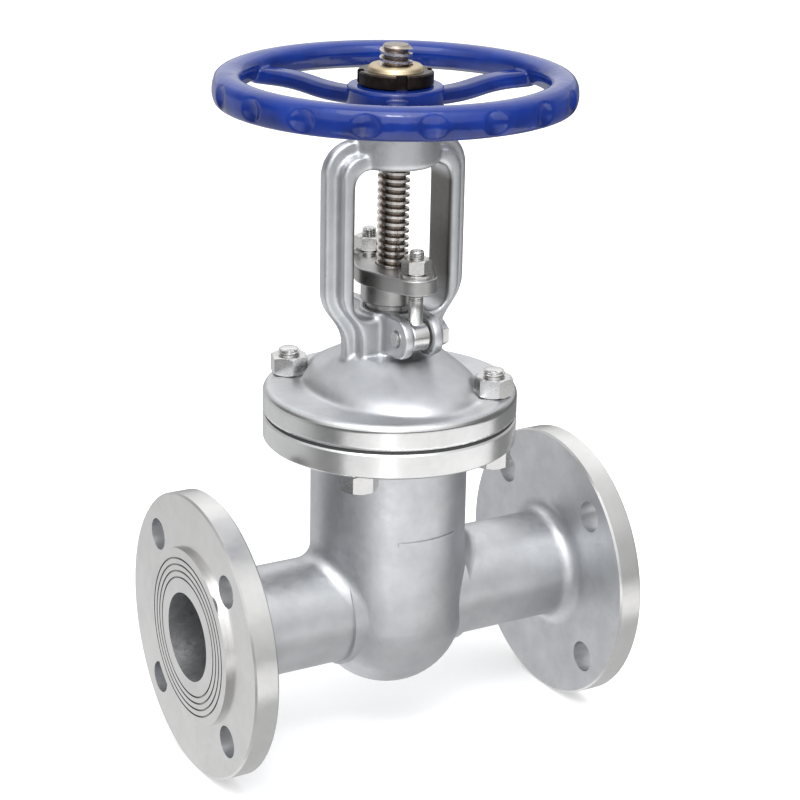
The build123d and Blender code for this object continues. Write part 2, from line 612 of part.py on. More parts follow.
# ---- bonnet studs and nuts -----------------------------------------------------------
lower_nut_bottom = BODY_FLANGE_BOTTOM - BONNET_NUT_HEIGHT
with BuildPart() as bonnet_studs:
    blind_stud_top = BONNET_BOTTOM + BLIND_STUD_DEPTH
    with BuildSketch(Plane.XY.offset(lower_nut_bottom)):
        with Locations(*bonnet_bolt_places(THROUGH_BOLT_ANGLES)):
            Circle(BONNET_BOLT_RADIUS)
    extrude(amount=BONNET_STUD_TOP - lower_nut_bottom)
    with BuildSketch(Plane.XY.offset(lower_nut_bottom)):
        with Locations(*bonnet_bolt_places(BLIND_BOLT_ANGLES)):
            Circle(BONNET_BOLT_RADIUS)
    extrude(amount=blind_stud_top - lower_nut_bottom)
    stud_ends = bonnet_studs.faces().filter_by(Axis.Z).edges()
    fillet(stud_ends, STUD_END_ROUNDING)
save(bonnet_studs.part, "bonnet_studs")


def hex_nut(flats, height, hole_radius, turn):
    """A nut standing on the XY plane, its corners bevelled at both ends."""
    corner = flats / math.sqrt(3)
    bevel_radius = flats / 2 * NUT_BEVEL_SHARE
    bevel_height = (corner - bevel_radius) * math.tan(math.radians(NUT_BEVEL_ANGLE))
    with BuildPart() as nut:
        with BuildSketch(Plane.XY):
            RegularPolygon(flats / 2, 6, major_radius=False, rotation=turn)
        extrude(amount=height)
        with BuildSketch(Plane.XZ):
            with BuildLine():
                Polyline(
                    (0, 0),
                    (bevel_radius, 0),
                    (corner, bevel_height),
                    (corner, height - bevel_height),
                    (bevel_radius, height),
                    (0, height),
                    close=True,
                )
            make_face()
        revolve(axis=Axis.Z, mode=Mode.INTERSECT)
        with BuildSketch(Plane.XY):
            Circle(hole_radius)
        extrude(amount=height, mode=Mode.SUBTRACT)
    return nut.part


upper_nut = hex_nut(BONNET_NUT_FLATS, BONNET_NUT_HEIGHT, BONNET_BOLT_RADIUS, BONNET_UPPER_NUT_TURN)
with BuildPart() as bonnet_upper_nuts:
    with Locations(*[place + (BONNET_FLANGE_TOP,) for place in bonnet_bolt_places(THROUGH_BOLT_ANGLES)]):
        add(upper_nut)
save(bonnet_upper_nuts.part, "bonnet_upper_nuts")

lower_nut = hex_nut(BONNET_NUT_FLATS, BONNET_NUT_HEIGHT, BONNET_BOLT_RADIUS, BONNET_LOWER_NUT_TURN)
with BuildPart() as bonnet_lower_nuts:
    with Locations(*[place + (lower_nut_bottom,) for place in all_bolt_places]):
        add(lower_nut)
save(bonnet_lower_nuts.part, "bonnet_lower_nuts")

# ---- stem seals: backseat bush and packing --------------------------------------------
with BuildPart() as backseat_bush:
    with BuildSketch(Plane.XY.offset(BACKSEAT_BOTTOM)):
        Circle(BACKSEAT_OUTER_RADIUS)
        Circle(STEM_HOLE_RADIUS, mode=Mode.SUBTRACT)
    extrude(amount=STUFFING_BOX_BOTTOM - BACKSEAT_BOTTOM)
    bush_mouth = backseat_bush.faces().sort_by(Axis.Z)[0].edges().sort_by(SortBy.RADIUS)[0]
    chamfer(bush_mouth, BACKSEAT_CONE)
save(backseat_bush.part, "backseat_bush")

packing_height = (GLAND_FOLLOWER_BOTTOM - PACKING_FLOOR) / PACKING_RING_COUNT
with BuildPart() as packing_rings:
    for ring in range(PACKING_RING_COUNT):
        with BuildSketch(Plane.XY.offset(PACKING_FLOOR + ring * packing_height)):
            Circle(PACKING_BORE_RADIUS)
            Circle(PACKING_INNER_RADIUS, mode=Mode.SUBTRACT)
        extrude(amount=packing_height - PACKING_RING_GAP)
save(packing_rings.part, "packing_rings")

# ---- gland ---------------------------------------------------------------------------
with BuildPart() as gland_follower:
    with BuildSketch(Plane.XY.offset(GLAND_FOLLOWER_BOTTOM)):
        Circle(GLAND_FOLLOWER_RADIUS)
    extrude(amount=GLAND_FLANGE_BOTTOM - GLAND_FOLLOWER_BOTTOM)
    with BuildSketch(Plane.XY.offset(GLAND_FLANGE_BOTTOM - GLAND_COLLAR_HEIGHT)):
        Circle(GLAND_COLLAR_RADIUS)
    extrude(amount=GLAND_COLLAR_HEIGHT)
    collar_edges = gland_follower.edges().filter_by(GeomType.CIRCLE)
    collar_edges = collar_edges.filter_by(lambda edge: edge.radius == GLAND_COLLAR_RADIUS)
    chamfer(collar_edges, GLAND_EDGE_ROUNDING / 2)
    with BuildSketch(Plane.XY.offset(GLAND_FOLLOWER_BOTTOM)):
        Circle(STEM_HOLE_RADIUS)
    extrude(amount=GLAND_FLANGE_BOTTOM - GLAND_FOLLOWER_BOTTOM, mode=Mode.SUBTRACT)
save(gland_follower.part, "gland_follower")

gland_bolt_places = [(0, -EYE_BOLT_Y), (0, EYE_BOLT_Y)]
with BuildPart() as gland_flange:
    with BuildSketch(Plane.XY.offset(GLAND_FLANGE_BOTTOM)):
        Circle(GLAND_MIDDLE_RADIUS)
        with Locations(*gland_bolt_places):
            Circle(GLAND_END_RADIUS)
        make_hull()
    extrude(amount=GLAND_FLANGE_TOP - GLAND_FLANGE_BOTTOM)
    outline_edges = gland_flange.faces().filter_by(Axis.Z).edges()
    fillet(outline_edges, GLAND_EDGE_ROUNDING)
    with BuildSketch(Plane.XY.offset(GLAND_FLANGE_BOTTOM)):
        Circle(STEM_HOLE_RADIUS)
        with Locations(*gland_bolt_places):
            Circle(EYE_SHANK_RADIUS + GLAND_HOLE_CLEARANCE)
    extrude(amount=GLAND_FLANGE_TOP - GLAND_FLANGE_BOTTOM, mode=Mode.SUBTRACT)
save(gland_flange.part, "gland_flange")

for side, name in ((-1, "eye_bolt_front"), (1, "eye_bolt_back")):
    with BuildPart() as eye_bolt:
        with BuildSketch(Plane.YZ.offset(-EYE_HALF_WIDTH)):
            with Locations((side * EYE_BOLT_Y, EYE_PIN_Z)):
                Circle(EYE_RADIUS)
        extrude(amount=2 * EYE_HALF_WIDTH)
        fillet(eye_bolt.edges().filter_by(GeomType.CIRCLE), EYE_ROUNDING)
        with BuildSketch(Plane.XY.offset(EYE_PIN_Z)):
            with Locations((0, side * EYE_BOLT_Y)):
                Circle(EYE_SHANK_RADIUS)
        extrude(amount=EYE_BOLT_TOP - EYE_PIN_Z)
        chamfer(eye_bolt.faces().sort_by(Axis.Z)[-1].edges(), EYE_SHANK_CHAMFER)
        with BuildSketch(Plane.YZ.offset(-EYE_HALF_WIDTH)):
            with Locations((side * EYE_BOLT_Y, EYE_PIN_Z)):
                Circle(EYE_PIN_RADIUS)
        extrude(amount=2 * EYE_HALF_WIDTH, mode=Mode.SUBTRACT)
    save(eye_bolt.part, name)

pin_places = [(-EYE_BOLT_Y, EYE_PIN_Z), (EYE_BOLT_Y, EYE_PIN_Z)]
with BuildPart() as eye_bolt_pins:
    with BuildSketch(Plane.YZ.offset(-EAR_OUTER_X - PIN_END_PROUD)):
        with Locations(*pin_places):
            Circle(EYE_PIN_RADIUS)
    extrude(amount=2 * EAR_OUTER_X + PIN_END_PROUD)
    with BuildSketch(Plane.YZ.offset(EAR_OUTER_X)):
        with Locations(*pin_places):
            RegularPolygon(PIN_HEAD_FLATS / 2, 6, major_radius=False, rotation=30)
    extrude(amount=PIN_HEAD_HEIGHT)
save(eye_bolt_pins.part, "eye_bolt_pins")

with BuildPart() as gland_washers:
    with BuildSketch(Plane.XY.offset(GLAND_FLANGE_TOP)):
        with Locations(*gland_bolt_places):
            Circle(GLAND_WASHER_RADIUS)
            Circle(EYE_SHANK_RADIUS, mode=Mode.SUBTRACT)
    extrude(amount=GLAND_WASHER_THICKNESS)
save(gland_washers.part, "gland_washers")

gland_nut = hex_nut(GLAND_NUT_FLATS, GLAND_NUT_HEIGHT, EYE_SHANK_RADIUS, GLAND_NUT_TURN)
gland_nut_bottom = GLAND_FLANGE_TOP + GLAND_WASHER_THICKNESS
with BuildPart() as gland_nuts:
    with Locations(*[place + (gland_nut_bottom,) for place in gland_bolt_places]):
        add(gland_nut)
save(gland_nuts.part, "gland_nuts")

# ---- stem nut and its thrust washers ---------------------------------------------------
with BuildPart() as stem_nut:
    with BuildSketch(Plane.XZ):
        with BuildLine():
            Polyline(
                (STEM_NUT_BORE_RADIUS, STEM_NUT_BOTTOM),
                (STEM_NUT_FLANGE_RADIUS, STEM_NUT_BOTTOM),
                (STEM_NUT_FLANGE_RADIUS, STEM_NUT_FLANGE_TOP),
                (STEM_NUT_JOURNAL_RADIUS, STEM_NUT_FLANGE_TOP),
                (STEM_NUT_JOURNAL_RADIUS, STEM_NUT_JOURNAL_TOP),
                (STEM_NUT_NECK_RADIUS, STEM_NUT_JOURNAL_TOP),
                (STEM_NUT_NECK_RADIUS, STEM_NUT_TOP - STEM_NUT_CHAMFER),
                (STEM_NUT_NECK_RADIUS - STEM_NUT_CHAMFER, STEM_NUT_TOP),
                (STEM_NUT_BORE_RADIUS, STEM_NUT_TOP),
                close=True,
            )
        make_face()
    revolve(axis=Axis.Z)
    with BuildSketch(Plane.XY.offset(KEY_BOTTOM)):
        with Locations((STEM_NUT_NECK_RADIUS, 0)):
            Rectangle(2 * KEY_DEPTH, 2 * KEY_HALF_WIDTH)
    extrude(amount=WHEEL_HUB_TOP - KEY_BOTTOM, mode=Mode.SUBTRACT)
save(stem_nut.part, "stem_nut")

lower_washer_bottom = STEM_NUT_FLANGE_TOP + THRUST_GAP
for name, bottom, outer_radius in (
    ("thrust_washer_lower", lower_washer_bottom, STEM_NUT_FLANGE_RADIUS),
    ("thrust_washer_upper", YOKE_HUB_TOP, UPPER_WASHER_RADIUS),
):
    with BuildPart() as thrust_washer:
        with BuildSketch(Plane.XY.offset(bottom)):
            Circle(outer_radius)
            Circle(STEM_NUT_JOURNAL_RADIUS + RUNNING_CLEARANCE, mode=Mode.SUBTRACT)
        extrude(amount=THRUST_WASHER_THICKNESS)
    save(thrust_washer.part, name)

# ---- handwheel, key and lock nut -------------------------------------------------------
with BuildPart() as spoke:
    bend_middle = (
        (SPOKE_BEND_START_RADIUS + SPOKE_BEND_END_RADIUS) / 2,
        (SPOKE_INNER_Z + SPOKE_OUTER_Z) / 2,
    )
    with BuildLine(Plane.XZ) as spoke_path:
        Line((SPOKE_START_RADIUS, SPOKE_INNER_Z), (SPOKE_BEND_START_RADIUS, SPOKE_INNER_Z))
        TangentArc((SPOKE_BEND_START_RADIUS, SPOKE_INNER_Z), bend_middle, tangent=(1, 0))
        TangentArc((SPOKE_BEND_END_RADIUS, SPOKE_OUTER_Z), bend_middle, tangent=(-1, 0))
        Line((SPOKE_BEND_END_RADIUS, SPOKE_OUTER_Z), (SPOKE_END_RADIUS, SPOKE_OUTER_Z))
    spoke_start = Plane(origin=(SPOKE_START_RADIUS, 0, SPOKE_INNER_Z), x_dir=(0, 1, 0), z_dir=(1, 0, 0))
    with BuildSketch(spoke_start):
        RectangleRounded(SPOKE_WIDTH, SPOKE_HEIGHT, SPOKE_ROUNDING)
    sweep(path=spoke_path.wires()[0])

with BuildPart() as handwheel:
    with BuildSketch(Plane.XZ):
        with BuildLine():
            crest = (WHEEL_RIM_CREST_RADIUS, WHEEL_RIM_TOP)
            middle_z = (WHEEL_RIM_TOP + WHEEL_RIM_BOTTOM) / 2
            outer_side = (WHEEL_RIM_OUTER_RADIUS, middle_z)
            outer_foot = (WHEEL_RIM_OUTER_RADIUS - RIM_FOOT_INSET, WHEEL_RIM_BOTTOM)
            inner_foot = (WHEEL_RIM_INNER_RADIUS + RIM_FOOT_INSET, WHEEL_RIM_INNER_BOTTOM)
            inner_side = (WHEEL_RIM_INNER_RADIUS, middle_z + RIM_FOOT_INSET)
            Spline(crest, outer_side, outer_foot, tangents=((1, 0), (-0.6, -1)))
            Line(outer_foot, inner_foot)
            Spline(inner_foot, inner_side, crest, tangents=((-0.4, 1), (1, 0)))
        make_face()
    revolve(axis=Axis.Z)
    foot_edges = handwheel.edges().filter_by(
        lambda edge: edge.center().Z < WHEEL_RIM_INNER_BOTTOM + 1
    )
    fillet(foot_edges, WHEEL_RIM_ROUNDING)
    scallop_circle = WHEEL_RIM_OUTER_RADIUS + SCALLOP_RADIUS - SCALLOP_DEPTH
    with Locations(*[
        on_circle(scallop_circle, SCALLOP_START_ANGLE + step * 360 / SCALLOP_COUNT) + (middle_z,)
        for step in range(SCALLOP_COUNT)
    ]):
        Sphere(SCALLOP_RADIUS, mode=Mode.SUBTRACT)
    with BuildSketch(Plane.XY.offset(WHEEL_HUB_BOTTOM)):
        Circle(WHEEL_HUB_RADIUS)
    extrude(amount=WHEEL_HUB_TOP - WHEEL_HUB_BOTTOM)
    hub_edges = handwheel.edges().filter_by(GeomType.CIRCLE)
    hub_edges = hub_edges.filter_by(lambda edge: abs(edge.radius - WHEEL_HUB_RADIUS) < EDGE_MATCH)
    fillet(hub_edges, WHEEL_HUB_ROUNDING)
    with PolarLocations(0, SPOKE_COUNT, start_angle=SPOKE_START_ANGLE):
        add(spoke.part)
    # bore and keyway
    with BuildSketch(Plane.XY.offset(WHEEL_HUB_BOTTOM)):
        Circle(STEM_NUT_NECK_RADIUS)
        with Locations((STEM_NUT_NECK_RADIUS, 0)):
            Rectangle(2 * KEY_PROUD, 2 * KEY_HALF_WIDTH)
    extrude(amount=WHEEL_HUB_TOP - WHEEL_HUB_BOTTOM, mode=Mode.SUBTRACT)
save(handwheel.part, "handwheel")

with BuildPart() as wheel_key:
    with BuildSketch(Plane.XY.offset(KEY_BOTTOM)):
        with Locations((STEM_NUT_NECK_RADIUS + (KEY_PROUD - KEY_DEPTH) / 2, 0)):
            Rectangle(KEY_PROUD + KEY_DEPTH, 2 * KEY_HALF_WIDTH)
    extrude(amount=WHEEL_HUB_TOP - KEY_BOTTOM)
save(wheel_key.part, "wheel_key")

with BuildPart() as lock_nut:
    with BuildSketch(Plane.XY.offset(WHEEL_HUB_TOP)):
        Circle(LOCK_NUT_RADIUS)
    extrude(amount=LOCK_NUT_TOP - WHEEL_HUB_TOP)
    chamfer(lock_nut.edges().filter_by(GeomType.CIRCLE), LOCK_NUT_CHAMFER)
    with BuildSketch(Plane.XY.offset(WHEEL_HUB_TOP)):
        Circle(STEM_NUT_NECK_RADIUS)
        slot_length = 2 * LOCK_NUT_SLOT_DEPTH
        with PolarLocations(LOCK_NUT_RADIUS, LOCK_NUT_SLOT_COUNT, start_angle=LOCK_NUT_TURN):
            Rectangle(slot_length, LOCK_NUT_SLOT_WIDTH)
    extrude(amount=LOCK_NUT_TOP - WHEEL_HUB_TOP, mode=Mode.SUBTRACT)
save(lock_nut.part, "lock_nut")
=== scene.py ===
"""Looks for the flanged gate valve: materials, cut threads, softened castings, stage and camera."""
import math

import bmesh
import bpy
import numpy as np
from mathutils import Matrix, Vector


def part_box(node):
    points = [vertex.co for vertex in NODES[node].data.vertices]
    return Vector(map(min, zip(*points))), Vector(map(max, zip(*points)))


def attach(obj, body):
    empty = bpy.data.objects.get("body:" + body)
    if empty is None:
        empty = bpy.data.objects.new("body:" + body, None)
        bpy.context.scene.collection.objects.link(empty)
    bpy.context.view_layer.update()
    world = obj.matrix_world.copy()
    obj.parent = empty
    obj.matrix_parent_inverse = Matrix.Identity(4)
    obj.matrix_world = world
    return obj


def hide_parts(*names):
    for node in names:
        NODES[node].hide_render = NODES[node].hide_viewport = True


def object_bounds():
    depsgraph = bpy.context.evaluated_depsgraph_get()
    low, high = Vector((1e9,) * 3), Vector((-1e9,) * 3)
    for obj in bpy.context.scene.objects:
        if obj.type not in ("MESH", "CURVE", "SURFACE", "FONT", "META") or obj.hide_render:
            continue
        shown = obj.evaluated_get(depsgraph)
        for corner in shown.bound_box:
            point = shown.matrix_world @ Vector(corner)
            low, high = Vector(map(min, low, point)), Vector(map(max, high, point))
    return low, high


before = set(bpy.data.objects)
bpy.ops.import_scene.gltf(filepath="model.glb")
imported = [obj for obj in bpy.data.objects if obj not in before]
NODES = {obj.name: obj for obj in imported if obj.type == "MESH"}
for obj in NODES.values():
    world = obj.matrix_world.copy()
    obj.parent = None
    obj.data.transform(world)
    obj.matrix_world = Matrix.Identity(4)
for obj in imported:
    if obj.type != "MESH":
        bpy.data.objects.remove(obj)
cad_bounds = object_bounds()
MM = 0.001

# ---- bodies of the frame --------------------------------------------------------------
CASING = "valve_casing"
WHEEL_SET = "handwheel_set"
STEM_SET = "stem_set"

# ---- sizes in millimetres: the CAD model's, and those of the threads cut here ---------
STEM_PITCH = 4.0
STEM_CREST_RADIUS = 8.8
STEM_ROOT_RADIUS = 6.6
STEM_THREAD_START = 191.0
STEM_HAND = -1
NUT_THREAD_MAJOR = 9.15
NUT_THREAD_MINOR = 6.95
NUT_THREAD_OUTSIDE = 9.6
NUT_THREAD_INSET = 0.7
WHEEL_FOOT = 286.3
WHEEL_CREST = 303.4
BLIND_STUD_TOP = 123.7
BONNET_STUD_CIRCLE = 59.0
BONNET_STUD_CREST_RADIUS = 6.0
BONNET_STUD_ROOT_RADIUS = 5.1
BONNET_STUD_PITCH = 1.75
EYE_BOLT_CREST_RADIUS = 4.0
EYE_BOLT_ROOT_RADIUS = 3.35
EYE_BOLT_PITCH = 1.25
EYE_BOLT_THREAD_START = 184.0

# ---- shares of a thread's pitch -------------------------------------------------------
SCREW_CREST_SHARE = 0.36
NUT_GROOVE_SHARE = 0.3875
FLANK_SHARE = 0.15

# How much of a domed end's squared radius is gone at its tip.
DOME_DROP = 0.6

# ---- distances below which points are welded and slivers dropped, in metres -----------
BUILT_WELD = 2e-6
CAD_WELD = 1e-6
SLIVER = 1e-7


# ---- mesh helpers ---------------------------------------------------------------------
def add_object(name, mesh, body, material, replaces=()):
    """Puts a finished mesh in the scene as a piece that rides on a body."""
    piece = bpy.data.objects.new(name, mesh)
    bpy.context.scene.collection.objects.link(piece)
    mesh.materials.clear()
    mesh.materials.append(material)
    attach(piece, body)
    if replaces:
        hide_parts(*replaces)
    return piece


def mesh_from(name, vertices, faces):
    """A welded, outward-facing mesh from points in millimetres."""
    mesh = bpy.data.meshes.new(name)
    mesh.from_pydata([tuple(c * MM for c in v) for v in vertices], [], faces)
    work = bmesh.new()
    work.from_mesh(mesh)
    bmesh.ops.remove_doubles(work, verts=work.verts, dist=BUILT_WELD)
    bmesh.ops.recalc_face_normals(work, faces=work.faces)
    work.to_mesh(mesh)
    work.free()
    return mesh


def shade(piece, degrees=30.0):
    """Smooth shading, with edges sharper than the angle kept crisp."""
    piece.data.shade_smooth()
    piece.data.set_sharp_from_angle(angle=math.radians(degrees))


def copy_of(node, name):
    """A CAD node's mesh in a new mesh, welded, without its normals."""
    mesh = NODES[node].data.copy()
    mesh.name = name
    work = bmesh.new()
    work.from_mesh(mesh)
    bmesh.ops.remove_doubles(work, verts=work.verts, dist=CAD_WELD)
    bmesh.ops.dissolve_degenerate(work, edges=work.edges, dist=CAD_WELD)
    plain = bpy.data.meshes.new(name)
    work.to_mesh(plain)
    work.free()
    bpy.data.meshes.remove(mesh)
    return plain


def thread_radius(phase, crest, root, crest_share, flank_share):
    """Radius of a trapezoid thread at a phase from 0 to 1 of its pitch, crest centred on 0."""
    away = abs((phase + 0.5) % 1.0 - 0.5)
    flat = crest_share / 2
    if away <= flat:
        return crest
    if away >= flat + flank_share:
        return root
    return crest + (root - crest) * (away - flat) / flank_share


def thread_stops(crest_share, flank_share):
    """Phases at which a thread's profile turns, with one step between them."""
    a, b = crest_share / 2, crest_share / 2 + flank_share
    turns = [-a, 0.0, a, (a + b) / 2, b, 0.5, 1 - b, 1 - (a + b) / 2]
    return sorted(t % 1.0 for t in turns)


def threaded_grid(low, high, pitch, hand, columns, stops, radius_at, centre=(0, 0)):
    """Points and faces of a helical sheet between two heights.

    Every row follows the helix, so the thread's edges stay crisp. radius_at(phase, z) gives the
    radius. Rows beyond an end are flattened on to it."""
    per_turn = len(stops)
    first = math.floor(low / pitch) - 2
    last = math.ceil(high / pitch) + 2
    levels = [(turn + s) * pitch for turn in range(first, last) for s in stops]
    points, faces = [], []
    rows = len(levels)
    for column in range(columns):
        angle = 2 * math.pi * column / columns
        shift = hand * pitch * column / columns
        for level in levels:
            z = level + shift
            clamped = min(max(z, low), high)
            phase = (clamped - shift) / pitch
            r = radius_at(phase, clamped)
            x = centre[0] + r * math.cos(angle)
            y = centre[1] + r * math.sin(angle)
            points.append((x, y, clamped))
    for column in range(columns):
        for row in range(rows - 1):
            a = column * rows + row
            b = a + 1
            if column < columns - 1:
                c, d = a + rows + 1, a + rows
            else:
                low_row = row + hand * per_turn
                if not 0 <= low_row < rows - 1:
                    continue
                c, d = low_row + 1, low_row
            faces.append((a, b, c, d))
    return points, faces


def tidy_shell(mesh):
    """Closes the open ends of a welded mesh and points its faces outwards."""
    work = bmesh.new()
    work.from_mesh(mesh)
    bmesh.ops.dissolve_degenerate(work, edges=work.edges, dist=SLIVER)
    loose = [v for v in work.verts if not v.link_faces]
    bmesh.ops.delete(work, geom=loose, context="VERTS")
    open_edges = [e for e in work.edges if e.is_boundary]
    if open_edges:
        bmesh.ops.holes_fill(work, edges=open_edges, sides=0)
    bmesh.ops.recalc_face_normals(work, faces=work.faces)
    work.to_mesh(mesh)
    work.free()
    return mesh


def joined(name, meshes):
    """Several meshes as one."""
    work = bmesh.new()
    for mesh in meshes:
        work.from_mesh(mesh)
    result = bpy.data.meshes.new(name)
    work.to_mesh(result)
    work.free()
    return result


def sliced(mesh, height):
    """The closed part of a mesh below a height in millimetres."""
    work = bmesh.new()
    work.from_mesh(mesh)
    bmesh.ops.bisect_plane(
        work,
        geom=work.verts[:] + work.edges[:] + work.faces[:],
        plane_co=(0, 0, height * MM),
        plane_no=(0, 0, 1),
        clear_outer=True,
    )
    open_edges = [e for e in work.edges if e.is_boundary]
    if open_edges:
        bmesh.ops.holes_fill(work, edges=open_edges, sides=0)
    work.to_mesh(mesh)
    work.free()
    return mesh


def screw(name, low, high, crest, root, pitch, hand=1, centre=(0, 0), columns=48,
          top_chamfer=0.0, bottom_chamfer=0.0, bottom_fade=0.0, dome=0.0):
    """A threaded bar with chamfered or domed ends."""
    stops = thread_stops(SCREW_CREST_SHARE, FLANK_SHARE)

    def radius_at(phase, z):
        r = thread_radius(phase, crest, root, SCREW_CREST_SHARE, FLANK_SHARE)
        if bottom_fade and z < low + bottom_fade:
            r = crest + (r - crest) * max(0.0, (z - low) / bottom_fade)
        if top_chamfer:
            r = min(r, crest - top_chamfer + (high - z))
        if bottom_chamfer:
            r = min(r, crest - bottom_chamfer + (z - low))
        if dome:
            rise = max(0.0, z - (high - dome))
            r = min(r, crest * math.sqrt(1 - DOME_DROP * (rise / dome) ** 2))
        return r

    points, faces = threaded_grid(low, high, pitch, hand, columns, stops, radius_at, centre)
    return tidy_shell(mesh_from(name, points, faces))


def threaded_sleeve(name, low, high, major, minor, outside, pitch, hand, columns=72):
    """A ring with an internal thread that leaves room round a matching screw."""
    stops = thread_stops(NUT_GROOVE_SHARE, FLANK_SHARE)

    def radius_at(phase, z):
        return thread_radius(phase, major, minor, NUT_GROOVE_SHARE, FLANK_SHARE)

    points, faces = threaded_grid(low, high, pitch, hand, columns, stops, radius_at)
    for column in range(columns):
        angle = 2 * math.pi * column / columns
        shift = hand * pitch * column / columns
        for z in (low, high):
            for r in (radius_at((z - shift) / pitch, z), outside):
                points.append((r * math.cos(angle), r * math.sin(angle), z))
    start = len(points) - 4 * columns
    for column in range(columns):
        a = start + 4 * column
        b = start + 4 * ((column + 1) % columns)
        faces.append((a, a + 1, b + 1, b))
        faces.append((a + 2, a + 3, b + 3, b + 2))
        faces.append((a + 1, a + 3, b + 3, b + 1))
    return mesh_from(name, points, faces)


# ---- material helpers -----------------------------------------------------------------
X_AXIS, Z_AXIS = 0, 2
NOISE_SPREAD = (0.3, 0.7)
TURNING_MARKS = 2600.0


def new_material(name):
    """An empty node material with its shader, ready for links."""
    material = bpy.data.materials.new(name)
    material.use_nodes = True
    tree = material.node_tree
    shader = tree.nodes["Principled BSDF"]
    return material, tree, shader


def coordinates(tree):
    """Object coordinates, which are metres in the row frame."""
    return tree.nodes.new("ShaderNodeTexCoord").outputs["Object"]


def noise(tree, vector, scale, detail=3.0, roughness=0.5, seed=0.0):
    """Smooth noise from 0 to 1; scale is in spots per metre."""
    node = tree.nodes.new("ShaderNodeTexNoise")
    node.noise_dimensions = "4D"
    node.inputs["W"].default_value = seed
    node.inputs["Scale"].default_value = scale
    node.inputs["Detail"].default_value = detail
    node.inputs["Roughness"].default_value = roughness
    tree.links.new(vector, node.inputs["Vector"])
    return node.outputs["Fac"]


def mapped(tree, value, source, target=(0.0, 1.0), smooth=False):
    """A value's place in the source range, carried over to the target range."""
    node = tree.nodes.new("ShaderNodeMapRange")
    node.inputs["From Min"].default_value = source[0]
    node.inputs["From Max"].default_value = source[1]
    node.inputs["To Min"].default_value = target[0]
    node.inputs["To Max"].default_value = target[1]
    if smooth:
        node.interpolation_type = "SMOOTHSTEP"
    tree.links.new(value, node.inputs["Value"])
    return node.outputs["Result"]


def ramp(tree, value, stops):
    """A colour ramp through (position, colour) stops."""
    stops = list(stops)
    node = tree.nodes.new("ShaderNodeValToRGB")
    while len(node.color_ramp.elements) < len(stops):
        node.color_ramp.elements.new(0.5)
    for element, (position, colour) in zip(node.color_ramp.elements, stops):
        element.position = position
        element.color = (*colour, 1.0)
    tree.links.new(value, node.inputs["Fac"])
    return node.outputs["Color"]


def bump(tree, height, depth, normal=None, strength=1.0):
    """A normal bent by a height value; depth is in millimetres."""
    node = tree.nodes.new("ShaderNodeBump")
    node.inputs["Strength"].default_value = strength
    node.inputs["Distance"].default_value = depth * MM
    tree.links.new(height, node.inputs["Height"])
    if normal is not None:
        tree.links.new(normal, node.inputs["Normal"])
    return node.outputs["Normal"]


def maths(tree, operation, a, b=None):
    """One step of arithmetic on numbers or sockets."""
    node = tree.nodes.new("ShaderNodeMath")
    node.operation = operation
    for socket, value in zip(node.inputs, (a, b)):
        if value is None:
            continue
        if isinstance(value, (int, float)):
            socket.default_value = value
        else:
            tree.links.new(value, socket)
    return node.outputs["Value"]


def axial_and_radial(tree, vector, axis):
    """Distance along an axis through the origin, and distance from it."""
    split = tree.nodes.new("ShaderNodeSeparateXYZ")
    tree.links.new(vector, split.inputs["Vector"])
    names = ["X", "Y", "Z"]
    along = split.outputs[names[axis]]
    others = [split.outputs[n] for i, n in enumerate(names) if i != axis]
    squares = [maths(tree, "MULTIPLY", o, o) for o in others]
    radial = maths(tree, "SQRT", maths(tree, "ADD", *squares))
    return along, radial


def lathe_lines(tree, vector, axis):
    """Noise that only changes along and away from an axis, as turning marks do."""
    along, radial = axial_and_radial(tree, vector, axis)
    combine = tree.nodes.new("ShaderNodeCombineXYZ")
    tree.links.new(along, combine.inputs["X"])
    tree.links.new(radial, combine.inputs["Y"])
    return noise(tree, combine.outputs["Vector"], TURNING_MARKS, detail=4.0, roughness=0.7)


def metal(name, colours, rough, mottle=45.0, grain=1500.0, grain_depth=0.05, wave=220.0,
          wave_depth=0.0, lathe_axis=None, lathe_depth=0.012, anisotropy=0.0):
    """Bare metal: mottled colour, uneven polish, blasted grain or turning marks."""
    material, tree, shader = new_material(name)
    position = coordinates(tree)
    patches = noise(tree, position, mottle, detail=4.0, roughness=0.6)
    tint = ramp(tree, patches, zip(NOISE_SPREAD, colours))
    tree.links.new(tint, shader.inputs["Base Color"])
    shader.inputs["Metallic"].default_value = 1.0
    polish = noise(tree, position, mottle * 6, detail=5.0, roughness=0.65, seed=3.0)
    tree.links.new(mapped(tree, polish, NOISE_SPREAD, rough), shader.inputs["Roughness"])
    normal = None
    if wave_depth:
        waves = noise(tree, position, wave, seed=1.0)
        normal = bump(tree, waves, wave_depth)
    if grain_depth:
        grains = noise(tree, position, grain, detail=2.0, roughness=0.6, seed=2.0)
        normal = bump(tree, grains, grain_depth, normal)
    if lathe_axis is not None:
        lines = lathe_lines(tree, position, lathe_axis)
        normal = bump(tree, lines, lathe_depth, normal)
    if normal is not None:
        tree.links.new(normal, shader.inputs["Normal"])
    if anisotropy:
        shader.inputs["Anisotropic"].default_value = anisotropy
        tangent = tree.nodes.new("ShaderNodeTangent")
        tangent.direction_type = "RADIAL"
        tangent.axis = "XYZ"[lathe_axis]
        tree.links.new(tangent.outputs["Tangent"], shader.inputs["Tangent"])
    return material


